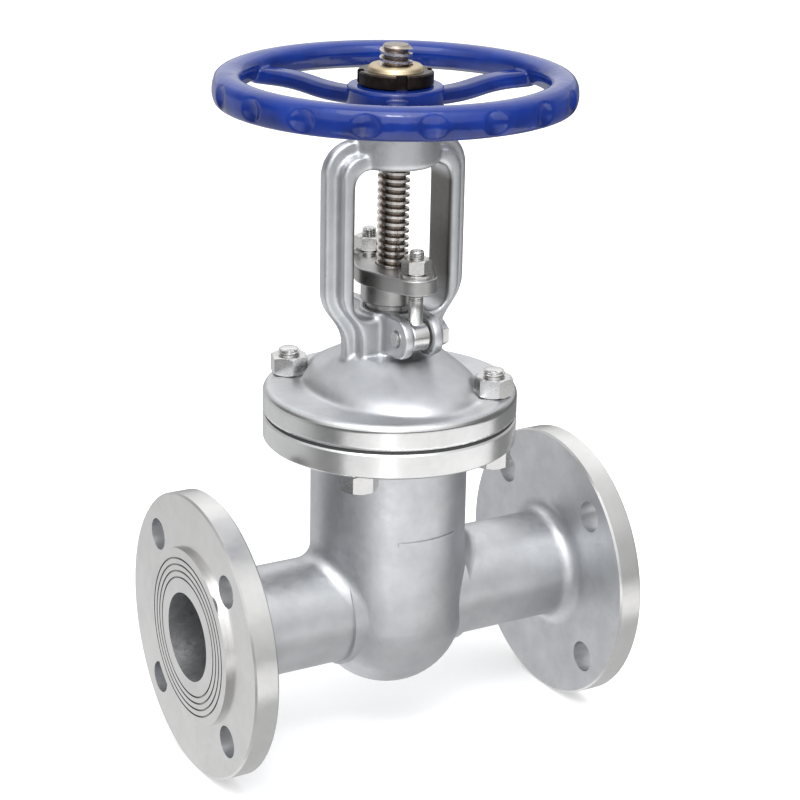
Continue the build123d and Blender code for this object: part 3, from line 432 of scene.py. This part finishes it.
CAST_COLOURS = ((0.49, 0.50, 0.515), (0.61, 0.62, 0.635))
CAST_ROUGHNESS = (0.36, 0.50)
CAST_RELIEF = {"grain_depth": 0.05, "wave_depth": 0.10}
CAST = metal("cast_stainless", CAST_COLOURS, CAST_ROUGHNESS, **CAST_RELIEF)
CAST_DARK = metal("cast_stainless_fine", ((0.37, 0.365, 0.36), (0.49, 0.485, 0.48)), (0.28, 0.40),
                  grain_depth=0.03, wave_depth=0.05)
TURNED_X = metal("turned_stainless_x", ((0.60, 0.595, 0.585), (0.68, 0.675, 0.665)), (0.20, 0.27),
                 grain_depth=0.0, lathe_axis=X_AXIS, lathe_depth=0.006, anisotropy=0.7)
TURNED_Z = metal("turned_stainless_z", ((0.60, 0.60, 0.595), (0.70, 0.70, 0.695)), (0.16, 0.22),
                 grain_depth=0.0, lathe_axis=Z_AXIS, lathe_depth=0.005, anisotropy=0.75)
# Painted shade: the raised faces' seal grooves get a darker steel colour, with a rougher finish.
GROOVE_SHADE = metal("groove_steel_painted_shade", ((0.26, 0.255, 0.25), (0.34, 0.335, 0.33)), (0.34, 0.46),
               grain_depth=0.0)
BRIGHT = metal("bright_steel", ((0.58, 0.575, 0.565), (0.68, 0.675, 0.665)), (0.20, 0.32),
               grain=900.0, grain_depth=0.02)
BRASS = metal("brass", ((0.46, 0.37, 0.23), (0.60, 0.50, 0.34)), (0.30, 0.44),
              grain_depth=0.0, lathe_axis=Z_AXIS, lathe_depth=0.02)
BRONZE = metal("oiled_bronze", ((0.20, 0.105, 0.05), (0.36, 0.20, 0.10)), (0.28, 0.42),
               grain_depth=0.0, lathe_axis=Z_AXIS, lathe_depth=0.02)
BLACK = metal("black_oxide", ((0.016, 0.012, 0.011), (0.055, 0.042, 0.036)), (0.24, 0.42),
              mottle=160.0, grain=1100.0, grain_depth=0.02)


# The yoke window's inner faces get painted shade, a darker colour which fades in over these ranges in
# millimetres.
WINDOW_SIDE_FADE = (31.2, 29.8)
WINDOW_FOOT_FADE = (174.0, 190.0)
WINDOW_TOP_FADE = (253.0, 243.0)
# The colour of the painted shade inside the window.
WINDOW_SHADE_COLOUR = (0.17, 0.165, 0.155, 1.0)
MIX_COLOUR_A, MIX_COLOUR_B, MIX_COLOUR_RESULT = 6, 7, 2


def painted_window_shade(material):
    """Paints shade on a cast metal: darkens its colour on the inner faces of the yoke window."""
    tree = material.node_tree
    shader = tree.nodes["Principled BSDF"]
    plain = shader.inputs["Base Color"].links[0].from_socket
    split = tree.nodes.new("ShaderNodeSeparateXYZ")
    tree.links.new(coordinates(tree), split.inputs["Vector"])
    sideways = maths(tree, "ABSOLUTE", split.outputs["X"])
    side = mapped(tree, sideways, [limit * MM for limit in WINDOW_SIDE_FADE])
    low = mapped(tree, split.outputs["Z"], [limit * MM for limit in WINDOW_FOOT_FADE])
    high = mapped(tree, split.outputs["Z"], [limit * MM for limit in WINDOW_TOP_FADE])
    # Where the painted shade falls.
    mask = maths(tree, "MULTIPLY", side, maths(tree, "MULTIPLY", low, high))
    mix = tree.nodes.new("ShaderNodeMix")
    mix.data_type = "RGBA"
    tree.links.new(mask, mix.inputs["Factor"])
    tree.links.new(plain, mix.inputs[MIX_COLOUR_A])
    mix.inputs[MIX_COLOUR_B].default_value = WINDOW_SHADE_COLOUR
    tree.links.new(mix.outputs[MIX_COLOUR_RESULT], shader.inputs["Base Color"])
    return material


# The bonnet's cast metal, with painted shade inside the yoke window.
CAST_YOKE_WINDOW_SHADE = painted_window_shade(metal("cast_stainless_yoke_window_shade", CAST_COLOURS, CAST_ROUGHNESS, **CAST_RELIEF))


# Stem colours from the thread's root to its crest, darker at the root partly from oil and partly as
# painted shade, which a blotchy stain shifts a little.
STEM_BROWNS_AND_GROOVE_SHADE = [(0.05, (0.28, 0.235, 0.20)), (0.70, (0.50, 0.455, 0.415)), (0.98, (0.78, 0.75, 0.72))]
STAIN_SHARE = 0.3


def stem_material():
    """Turned steel, browned with oil in the thread's grooves, which are darkened further with painted
    shade.
    """
    material, tree, shader = new_material("stem_stainless")
    position = coordinates(tree)
    radial = axial_and_radial(tree, position, Z_AXIS)[1]
    stain = noise(tree, position, 120.0, roughness=0.6)
    # Darker towards the thread's root: partly oil, partly painted shade.
    depth = mapped(tree, radial, (STEM_ROOT_RADIUS * MM, STEM_CREST_RADIUS * MM))
    stain_part = maths(tree, "MULTIPLY", stain, STAIN_SHARE)
    level = maths(tree, "ADD", stain_part, maths(tree, "SUBTRACT", depth, STAIN_SHARE / 2))
    tree.links.new(ramp(tree, level, STEM_BROWNS_AND_GROOVE_SHADE), shader.inputs["Base Color"])
    shader.inputs["Metallic"].default_value = 1.0
    polish = noise(tree, position, 500.0, detail=4.0, roughness=0.6, seed=3.0)
    tree.links.new(mapped(tree, polish, NOISE_SPREAD, (0.20, 0.36)), shader.inputs["Roughness"])
    lines = lathe_lines(tree, position, Z_AXIS)
    tree.links.new(bump(tree, lines, 0.012), shader.inputs["Normal"])
    return material


STEM_STEEL = stem_material()


def graphite_material():
    """Dull, flaky black."""
    material, tree, shader = new_material("graphite")
    position = coordinates(tree)
    flakes = noise(tree, position, 700.0, detail=4.0, roughness=0.7)
    greys = [(0.3, (0.010, 0.010, 0.011)), (0.75, (0.045, 0.045, 0.048))]
    tree.links.new(ramp(tree, flakes, greys), shader.inputs["Base Color"])
    tree.links.new(mapped(tree, flakes, NOISE_SPREAD, (0.55, 0.8)), shader.inputs["Roughness"])
    tree.links.new(bump(tree, flakes, 0.05, strength=0.6), shader.inputs["Normal"])
    return material


def enamel_material():
    """Thick glossy enamel: a random tone, darker towards the bottom of the wheel as painted shade,
    with a faint orange peel.
    """
    material, tree, shader = new_material("blue_enamel")
    position = coordinates(tree)
    patches = noise(tree, position, 60.0)
    split = tree.nodes.new("ShaderNodeSeparateXYZ")
    tree.links.new(position, split.inputs["Vector"])
    # Painted shade: the colour darkens towards the wheel's foot.
    height = mapped(tree, split.outputs["Z"], (WHEEL_FOOT * MM, WHEEL_CREST * MM), (-0.35, 0.25))
    level = maths(tree, "ADD", patches, height)
    blues = [(0.2, (0.002, 0.010, 0.085)), (0.5, (0.004, 0.020, 0.160)), (0.8, (0.007, 0.031, 0.215))]
    tree.links.new(ramp(tree, level, blues), shader.inputs["Base Color"])
    smears = noise(tree, position, 260.0, seed=2.0)
    tree.links.new(mapped(tree, smears, NOISE_SPREAD, (0.08, 0.16)), shader.inputs["Roughness"])
    shader.inputs["IOR"].default_value = 1.48
    peel = noise(tree, position, 330.0, detail=2.0, seed=1.0)
    sag = noise(tree, position, 90.0, detail=2.0, seed=5.0)
    normal = bump(tree, peel, 0.05)
    normal = bump(tree, sag, 0.34, normal)
    tree.links.new(normal, shader.inputs["Normal"])
    return material


GRAPHITE = graphite_material()
ENAMEL = enamel_material()

# ---- CAD nodes that keep their shape --------------------------------------------------
FINISHES = {
    "seat_ring_inlet": TURNED_X, "seat_ring_outlet": TURNED_X, "wedge": TURNED_X,
    "bonnet_gasket": GRAPHITE, "packing_rings": GRAPHITE,
    "bonnet_upper_nuts": BRIGHT, "bonnet_lower_nuts": BRIGHT, "gland_nuts": BRIGHT,
    "gland_washers": BRIGHT, "gland_flange": CAST_DARK, "gland_follower": CAST_DARK,
    "eye_bolt_pins": BRIGHT, "backseat_bush": TURNED_Z,
    "thrust_washer_lower": BRASS, "thrust_washer_upper": BRASS,
    "wheel_key": BRIGHT, "lock_nut": BLACK,
}
for node, material in FINISHES.items():
    data = NODES[node].data
    data.materials.clear()
    data.materials.append(material)

# ---- castings: cast and turned faces told apart ---------------------------------------
END_FLANGE_RADIUS = 80.0
END_FACE_X = 122.0
END_FLANGE_BACK_X = 108.0
RAISED_FACE_X = 125.0
SEAL_GROOVES_EDGE = 45.0
JOINT_RADIUS = 70.7
BODY_FLANGE_FOOT = 98.2
BONNET_FLANGE_FOOT = 113.7
BONNET_FLANGE_TOP = 128.5
SEAL_GROOVE_RANGE = (0.05, 0.9)
RIM_DEPTH = 1.1
# How far off a face's own place a vertex may lie and still count as on it.
ROOM = 0.1
CLOSE_ROOM = 0.01
TURNED_BY_AXIS = {"x": 1, "z": 2}
GROOVE_SHADE_INDEX = 3


def vertex_array(mesh):
    """A mesh's vertices as an array, in millimetres."""
    points = np.empty(len(mesh.vertices) * 3)
    mesh.vertices.foreach_get("co", points)
    return points.reshape(-1, 3) / MM


def faces_within(mesh, inside):
    """Indices of the faces whose vertices all pass a test given as a mask."""
    return [f.index for f in mesh.polygons if all(inside[v] for v in f.vertices)]


def body_finishes(mesh):
    """Turned rims and end faces of the body."""
    x, y, z = vertex_array(mesh).T
    off_bore, off_stem = np.hypot(y, z), np.hypot(x, y)
    rim = (off_bore > END_FLANGE_RADIUS - RIM_DEPTH) & (np.abs(x) > END_FLANGE_BACK_X - ROOM)
    end = np.abs(x) > END_FACE_X - ROOM
    joint_rim = (off_stem > JOINT_RADIUS - RIM_DEPTH) & (z > BODY_FLANGE_FOOT - ROOM)
    return {"x": (rim, end), "z": (joint_rim,)}


def paint(mesh, masks):
    """Gives faces that lie in a mask the material of that mask's axis."""
    for axis, tests in masks.items():
        for inside in tests:
            for index in faces_within(mesh, inside):
                mesh.polygons[index].material_index = TURNED_BY_AXIS[axis]


body_mesh = NODES["valve_body"].data.copy()
add_object("body_casting", body_mesh, CASING, CAST, ["valve_body"])
body_mesh.materials.append(TURNED_X)
body_mesh.materials.append(TURNED_Z)
body_mesh.materials.append(GROOVE_SHADE)
paint(body_mesh, body_finishes(body_mesh))
# The seal grooves take the darker steel, painted shade.
for face in body_mesh.polygons:
    off_bore = math.hypot(face.center.y, face.center.z) / MM
    sunk = RAISED_FACE_X - abs(face.center.x) / MM
    in_groove = SEAL_GROOVE_RANGE[0] < sunk < SEAL_GROOVE_RANGE[1]
    if in_groove and off_bore < SEAL_GROOVES_EDGE:
        face.material_index = GROOVE_SHADE_INDEX


# ---- the bonnet, rebuilt with soft corners and a crisp turned rim ----------------------
def remeshed(node, name, voxel):
    """A CAD node's shape rebuilt from even quads, with the quads' size in millimetres."""
    rough = bpy.data.objects.new(name + "_rough", copy_of(node, name + "_rough"))
    bpy.context.scene.collection.objects.link(rough)
    modifier = rough.modifiers.new("remesh", "REMESH")
    modifier.mode = "VOXEL"
    modifier.voxel_size = voxel * MM
    graph = bpy.context.evaluated_depsgraph_get()
    mesh = bpy.data.meshes.new_from_object(rough.evaluated_get(graph))
    mesh.name = name
    bpy.data.objects.remove(rough)
    return mesh


def smoothed(mesh, weight, rounds):
    """Pulls each vertex towards its neighbours by its weight, again and again."""
    points = vertex_array(mesh)
    ends = np.empty(len(mesh.edges) * 2, dtype=np.int64)
    mesh.edges.foreach_get("vertices", ends)
    first, second = ends[0::2], ends[1::2]
    count = np.bincount(ends, minlength=len(points)).astype(float)
    count[count == 0] = 1.0
    for _ in range(rounds):
        total = np.empty_like(points)
        for axis in range(3):
            total[:, axis] = (
                np.bincount(first, points[second, axis], minlength=len(points))
                + np.bincount(second, points[first, axis], minlength=len(points))
            )
        points += weight[:, None] * (total / count[:, None] - points)
    return points


def snapped(points, centre_axis, outline, reach):
    """Moves points near a turned outline, given as (along, radius) corners, on to it."""
    along = points[:, centre_axis]
    others = [i for i in range(3) if i != centre_axis]
    radius = np.hypot(points[:, others[0]], points[:, others[1]])
    best = np.full(len(points), np.inf)
    target = np.stack([along, radius], 1)
    here = target.copy()
    for start, end in zip(outline, outline[1:]):
        a, b = np.array(start, float), np.array(end, float)
        share = np.clip(((here - a) @ (b - a)) / ((b - a) @ (b - a)), 0, 1)
        spot = a + share[:, None] * (b - a)
        gap = np.linalg.norm(here - spot, axis=1)
        closer = gap < best
        best[closer] = gap[closer]
        target[closer] = spot[closer]
    near = best < reach
    scale = target[near, 1] / np.maximum(radius[near], 1e-9)
    points[near, centre_axis] = target[near, 0]
    for i in others:
        points[near, i] *= scale
    return points


def set_points(mesh, points):
    """Moves a mesh's vertices to points in millimetres."""
    mesh.vertices.foreach_set("co", (points * MM).ravel())
    mesh.update()


def rounded_corner(centre, radius, start, end, steps=6):
    """Points along an arc in the (along, radius) plane, angles in degrees from the along axis."""
    angles = [math.radians(start + (end - start) * step / steps) for step in range(steps + 1)]
    return [(centre[0] + radius * math.cos(a), centre[1] + radius * math.sin(a)) for a in angles]


def stud_spot(angle):
    """Where a bonnet stud stands, for its angle in degrees."""
    turn = math.radians(angle)
    return BONNET_STUD_CIRCLE * math.cos(turn), BONNET_STUD_CIRCLE * math.sin(turn)


BONNET_VOXEL = 1.0
BONNET_ROUNDS = 7
DOME_FOOT_ROUNDS = 4
PULL = 0.5
RIM_CHAMFER = 1.0
RIM_ROUNDING = 4.0
RIM_FOOT_INNER_RADIUS = 60.0
RIM_TOP_INNER_RADIUS = 64.0
RIM_REACH = 0.9
RIM_ZONE_RADIUS = JOINT_RADIUS - 4.5
RIM_ZONE_TOP = BONNET_FLANGE_TOP + 1.0
RIM_PAINT_RADIUS = JOINT_RADIUS - 1.5
DOME_FOOT_Z = (126.5, 141.5)
DOME_FOOT_INNER_RADIUS = 30.0
UPPER_NUT_SEAT_RADIUS = 14.5
THROUGH_STUD_ANGLES = (135.0, 315.0)

rim_outline = [
    (BONNET_FLANGE_FOOT, RIM_FOOT_INNER_RADIUS),
    (BONNET_FLANGE_FOOT, JOINT_RADIUS - RIM_CHAMFER),
    (BONNET_FLANGE_FOOT + RIM_CHAMFER, JOINT_RADIUS),
]
rounding_centre = (BONNET_FLANGE_TOP - RIM_ROUNDING, JOINT_RADIUS - RIM_ROUNDING)
rim_outline += rounded_corner(rounding_centre, RIM_ROUNDING, 90, 0)
rim_outline += [(BONNET_FLANGE_TOP, RIM_TOP_INNER_RADIUS)]

bonnet_mesh = remeshed("bonnet_and_yoke", "bonnet_casting", BONNET_VOXEL)
points = vertex_array(bonnet_mesh)
off_stem = np.hypot(points[:, 0], points[:, 1])
rim_zone = (off_stem > RIM_ZONE_RADIUS) & (points[:, 2] < RIM_ZONE_TOP)
points = smoothed(bonnet_mesh, np.where(rim_zone, 0.0, PULL), BONNET_ROUNDS)
set_points(bonnet_mesh, points)
foot_zone = (off_stem > DOME_FOOT_INNER_RADIUS) & (off_stem < RIM_ZONE_RADIUS)
foot_zone &= (points[:, 2] > DOME_FOOT_Z[0]) & (points[:, 2] < DOME_FOOT_Z[1])
for angle in THROUGH_STUD_ANGLES:
    spot = stud_spot(angle)
    foot_zone &= np.hypot(points[:, 0] - spot[0], points[:, 1] - spot[1]) > UPPER_NUT_SEAT_RADIUS
points = smoothed(bonnet_mesh, np.where(foot_zone, PULL, 0.0), DOME_FOOT_ROUNDS)
points = snapped(points, Z_AXIS, rim_outline, RIM_REACH)
set_points(bonnet_mesh, points)
bonnet = add_object("bonnet_casting", bonnet_mesh, CASING, CAST_YOKE_WINDOW_SHADE,
                    ["bonnet_and_yoke"])
bonnet_mesh.materials.append(TURNED_X)
bonnet_mesh.materials.append(TURNED_Z)
off_stem = np.hypot(points[:, 0], points[:, 1])
painted_rim = (off_stem > RIM_PAINT_RADIUS) & (points[:, 2] < BONNET_FLANGE_TOP + ROOM)
paint(bonnet_mesh, {"z": (painted_rim,)})
shade(bonnet, degrees=34.0)

# ---- handwheel ------------------------------------------------------------------------
WHEEL_VOXEL = 0.7
WHEEL_ROUNDS = 3

wheel_mesh = remeshed("handwheel", "wheel_enamelled", WHEEL_VOXEL)
pull = np.full(len(wheel_mesh.vertices), PULL)
set_points(wheel_mesh, smoothed(wheel_mesh, pull, WHEEL_ROUNDS))
add_object("wheel_enamelled", wheel_mesh, WHEEL_SET, ENAMEL, ["handwheel"])
wheel_mesh.shade_smooth()

# ---- stem with its left-hand trapezoid thread -----------------------------------------
stem_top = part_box("stem")[1].z / MM
stem_low = sliced(copy_of("stem", "stem_low"), STEM_THREAD_START)
stem_screw = screw("stem_screw", STEM_THREAD_START, stem_top, STEM_CREST_RADIUS, STEM_ROOT_RADIUS,
                   STEM_PITCH, hand=STEM_HAND, columns=72, top_chamfer=2.2, bottom_fade=3.0)
stem = add_object("stem_threaded", joined("stem_threaded", [stem_low, stem_screw]), STEM_SET,
                  STEM_STEEL, ["stem"])
shade(stem)

# ---- stem nut with the matching internal thread ---------------------------------------
nut_low, nut_high = (corner.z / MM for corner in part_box("stem_nut"))
nut_thread = threaded_sleeve("nut_thread", nut_low + NUT_THREAD_INSET, nut_high - NUT_THREAD_INSET,
                             NUT_THREAD_MAJOR, NUT_THREAD_MINOR, NUT_THREAD_OUTSIDE,
                             STEM_PITCH, STEM_HAND)
nut_mesh = joined("stem_nut_cut", [copy_of("stem_nut", "stem_nut_outside"), nut_thread])
nut = add_object("stem_nut_cut", nut_mesh, WHEEL_SET, BRASS, ["stem_nut"])
nut_mesh.materials.append(BRONZE)
x, y, z = vertex_array(nut_mesh).T
for index in faces_within(nut_mesh, np.hypot(x, y) < NUT_THREAD_OUTSIDE + CLOSE_ROOM):
    nut_mesh.polygons[index].material_index = 1
shade(nut)

# ---- eye bolts and studs --------------------------------------------------------------
for side in ("front", "back"):
    node = "eye_bolt_" + side
    low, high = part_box(node)
    centre_y = (low.y + high.y) / 2 / MM
    lower = sliced(copy_of(node, node), EYE_BOLT_THREAD_START)
    upper = screw(node + "_thread", EYE_BOLT_THREAD_START, high.z / MM, EYE_BOLT_CREST_RADIUS,
                  EYE_BOLT_ROOT_RADIUS, EYE_BOLT_PITCH, centre=(0, centre_y), columns=32, dome=1.2)
    piece = add_object(node + "_cut", joined(node + "_cut", [lower, upper]), CASING,
                       BRIGHT, [node])
    shade(piece)

stud_low, stud_high = (corner.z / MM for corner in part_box("bonnet_studs"))
studs = []
for angle in (45.0, 135.0, 225.0, 315.0):
    top = stud_high if angle in THROUGH_STUD_ANGLES else BLIND_STUD_TOP
    studs.append(screw(f"stud_{angle:.0f}", stud_low, top, BONNET_STUD_CREST_RADIUS,
                       BONNET_STUD_ROOT_RADIUS, BONNET_STUD_PITCH, centre=stud_spot(angle),
                       columns=40, bottom_chamfer=1.4, dome=1.6))
stud_piece = add_object("bonnet_studs_cut", joined("bonnet_studs_cut", studs), CASING,
                        BRIGHT, ["bonnet_studs"])
shade(stud_piece)

# ---- stage ----------------------------------------------------------------------------
FLOOR_HALF = 6.0
FLOOR_CORNERS = ((-1, -1), (1, -1), (1, 1), (-1, 1))

floor_z = cad_bounds[0][2]
floor_mesh = bpy.data.meshes.new("floor")
floor_points = [(FLOOR_HALF * x, FLOOR_HALF * y, floor_z) for x, y in FLOOR_CORNERS]
floor_mesh.from_pydata(floor_points, [], [(0, 1, 2, 3)])
floor = bpy.data.objects.new("floor", floor_mesh)
bpy.context.scene.collection.objects.link(floor)
floor_material, floor_tree, floor_shader = new_material("pale_floor")
floor_shader.inputs["Base Color"].default_value = (0.92, 0.92, 0.92, 1)
floor_shader.inputs["Roughness"].default_value = 0.9
floor_shader.inputs["Specular IOR Level"].default_value = 0.0
floor_shader.inputs["Emission Color"].default_value = (1.0, 1.0, 1.0, 1)
floor_shader.inputs["Emission Strength"].default_value = 0.25
floor_mesh.materials.append(floor_material)
floor.visible_glossy = False

# ---- studio: bright overhead and behind, a bright strip in front, darker at the sides --
STRIP_DIRECTION = (-0.497, -0.868)
LEFT_DIRECTION = (-0.5, 0.866)
SIDE_LIGHT, TOP_LIGHT, BACK_LIGHT, FLOOR_LIGHT = 0.20, 0.80, 0.50, 0.50
STRIP_LIGHT, FRONT_LIGHT, LEFT_LIGHT = 0.9, 1.0, 0.52
# Each part of the sky fades in over a range: of height, or of how far a direction faces the part.
HORIZON_FADE = (-0.05, 0.12)
TOP_FADE = (0.25, 0.85)
FLOOR_FADE = (-0.20, -0.75)
STRIP_FADE = (0.955, 0.992)
FRONT_FADE = (0.1, 0.85)
LEFT_FADE = (0.45, 0.95)
BACK_FADE = (-0.35, -0.85)
LEAST_FLAT = 0.001


def along_direction(tree, x, y, direction):
    """How far a point at x, y lies along a level direction."""
    x_part = maths(tree, "MULTIPLY", x, direction[0])
    y_part = maths(tree, "MULTIPLY", y, direction[1])
    return maths(tree, "ADD", x_part, y_part)


def studio_world():
    """A sky lit in parts, each with its own strength."""
    world = bpy.data.worlds.new("studio")
    world.use_nodes = True
    tree = world.node_tree
    background = tree.nodes["Background"]
    direction = tree.nodes.new("ShaderNodeTexCoord").outputs["Generated"]
    split = tree.nodes.new("ShaderNodeSeparateXYZ")
    tree.links.new(direction, split.inputs["Vector"])
    x, y, z = (split.outputs[axis] for axis in "XYZ")
    squares = maths(tree, "ADD", maths(tree, "MULTIPLY", x, x), maths(tree, "MULTIPLY", y, y))
    flat = maths(tree, "MAXIMUM", maths(tree, "SQRT", squares), LEAST_FLAT)
    facing = maths(tree, "DIVIDE", along_direction(tree, x, y, STRIP_DIRECTION), flat)
    leftwards = maths(tree, "DIVIDE", along_direction(tree, x, y, LEFT_DIRECTION), flat)

    above = mapped(tree, z, HORIZON_FADE, smooth=True)
    below = maths(tree, "SUBTRACT", 1.0, above)
    strip = mapped(tree, facing, STRIP_FADE, (0.0, STRIP_LIGHT), smooth=True)
    front = mapped(tree, facing, FRONT_FADE, (0.0, FRONT_LIGHT), smooth=True)
    left = mapped(tree, leftwards, LEFT_FADE, (0.0, LEFT_LIGHT), smooth=True)
    back = mapped(tree, facing, BACK_FADE, (0.0, BACK_LIGHT), smooth=True)
    around = maths(tree, "ADD", maths(tree, "ADD", strip, front), back)
    parts = [
        mapped(tree, z, TOP_FADE, (0.0, TOP_LIGHT), smooth=True),
        maths(tree, "MULTIPLY", above, around),
        maths(tree, "MULTIPLY", below, left),
        mapped(tree, z, FLOOR_FADE, (0.0, FLOOR_LIGHT), smooth=True),
    ]
    total = SIDE_LIGHT
    for part in parts:
        total = maths(tree, "ADD", part, total)
    tree.links.new(total, background.inputs["Strength"])
    background.inputs["Color"].default_value = (0.985, 0.99, 1.0, 1.0)
    bpy.context.scene.world = world


studio_world()


def area_light(name, place, target, size, power):
    """A white rectangular light, unseen itself, aimed from a place at a target."""
    data = bpy.data.lights.new(name, "AREA")
    data.shape = "RECTANGLE"
    data.size, data.size_y = size
    data.energy = power
    light = bpy.data.objects.new(name, data)
    light.location = place
    light.rotation_euler = (Vector(target) - Vector(place)).to_track_quat("-Z", "Y").to_euler()
    light.visible_camera = False
    bpy.context.scene.collection.objects.link(light)
    return light


MIDDLE = (0.0, 0.0, 0.1)
area_light("key_top", place=(-0.5, -0.6, 1.5), target=MIDDLE, size=(1.2, 1.2), power=9.0)
area_light("back_fill", place=(0.6, 1.6, 0.9), target=MIDDLE, size=(1.8, 1.2), power=2.0)
area_light("wheel_spark", place=(-0.42, -0.72, 1.05), target=MIDDLE, size=(0.16, 0.16), power=1.4)

CARD_LIFT = 2 * MM


def floor_card(name, azimuth, distance, size, radiance):
    """A glowing card on the floor in front, mirrored by the upright steel but not by the wheel."""
    turn = math.radians(azimuth)
    place = (distance * math.cos(turn), distance * math.sin(turn), floor_z + CARD_LIFT)
    overhead = (place[0], place[1], 1.0)
    power = radiance * math.pi * size[0] * size[1]
    card = area_light(name, place, overhead, size, power)
    card.rotation_euler = (math.pi, 0.0, turn - math.pi / 2)


floor_card("front_card", azimuth=-120.0, distance=0.60, size=(0.11, 0.70), radiance=1.25)
floor_card("front_glow", azimuth=-88.0, distance=0.64, size=(1.15, 0.90), radiance=0.98)

# ---- camera, from the photo's viewing angle -------------------------------------------
AZIMUTH, ELEVATION, ROLL = math.radians(-29.79), math.radians(19.439), math.radians(1.152)
DISTANCE, LENS = 1.2972, 101.59
AIM_RIGHT, AIM_UP = 0.005719, 0.11179
SENSOR_WIDTH = 36.0

back = Vector((
    math.sin(AZIMUTH) * math.cos(ELEVATION),
    -math.cos(AZIMUTH) * math.cos(ELEVATION),
    math.sin(ELEVATION),
))
right = Vector((math.cos(AZIMUTH), math.sin(AZIMUTH), 0.0))
up = back.cross(right)
across = math.cos(ROLL) * right + math.sin(ROLL) * up
upward = -math.sin(ROLL) * right + math.cos(ROLL) * up
eye = AIM_RIGHT * right + AIM_UP * up + DISTANCE * back
camera_data = bpy.data.cameras.new("camera")
camera_data.lens = LENS
camera_data.sensor_width = SENSOR_WIDTH
camera_data.clip_end = 50.0
camera = bpy.data.objects.new("camera", camera_data)
bpy.context.scene.collection.objects.link(camera)
camera.matrix_world = Matrix((
    (across.x, upward.x, back.x, eye.x),
    (across.y, upward.y, back.y, eye.y),
    (across.z, upward.z, back.z, eye.z),
    (0, 0, 0, 1),
))
bpy.context.scene.camera = camera
bpy.context.scene.view_settings.view_transform = "Standard"
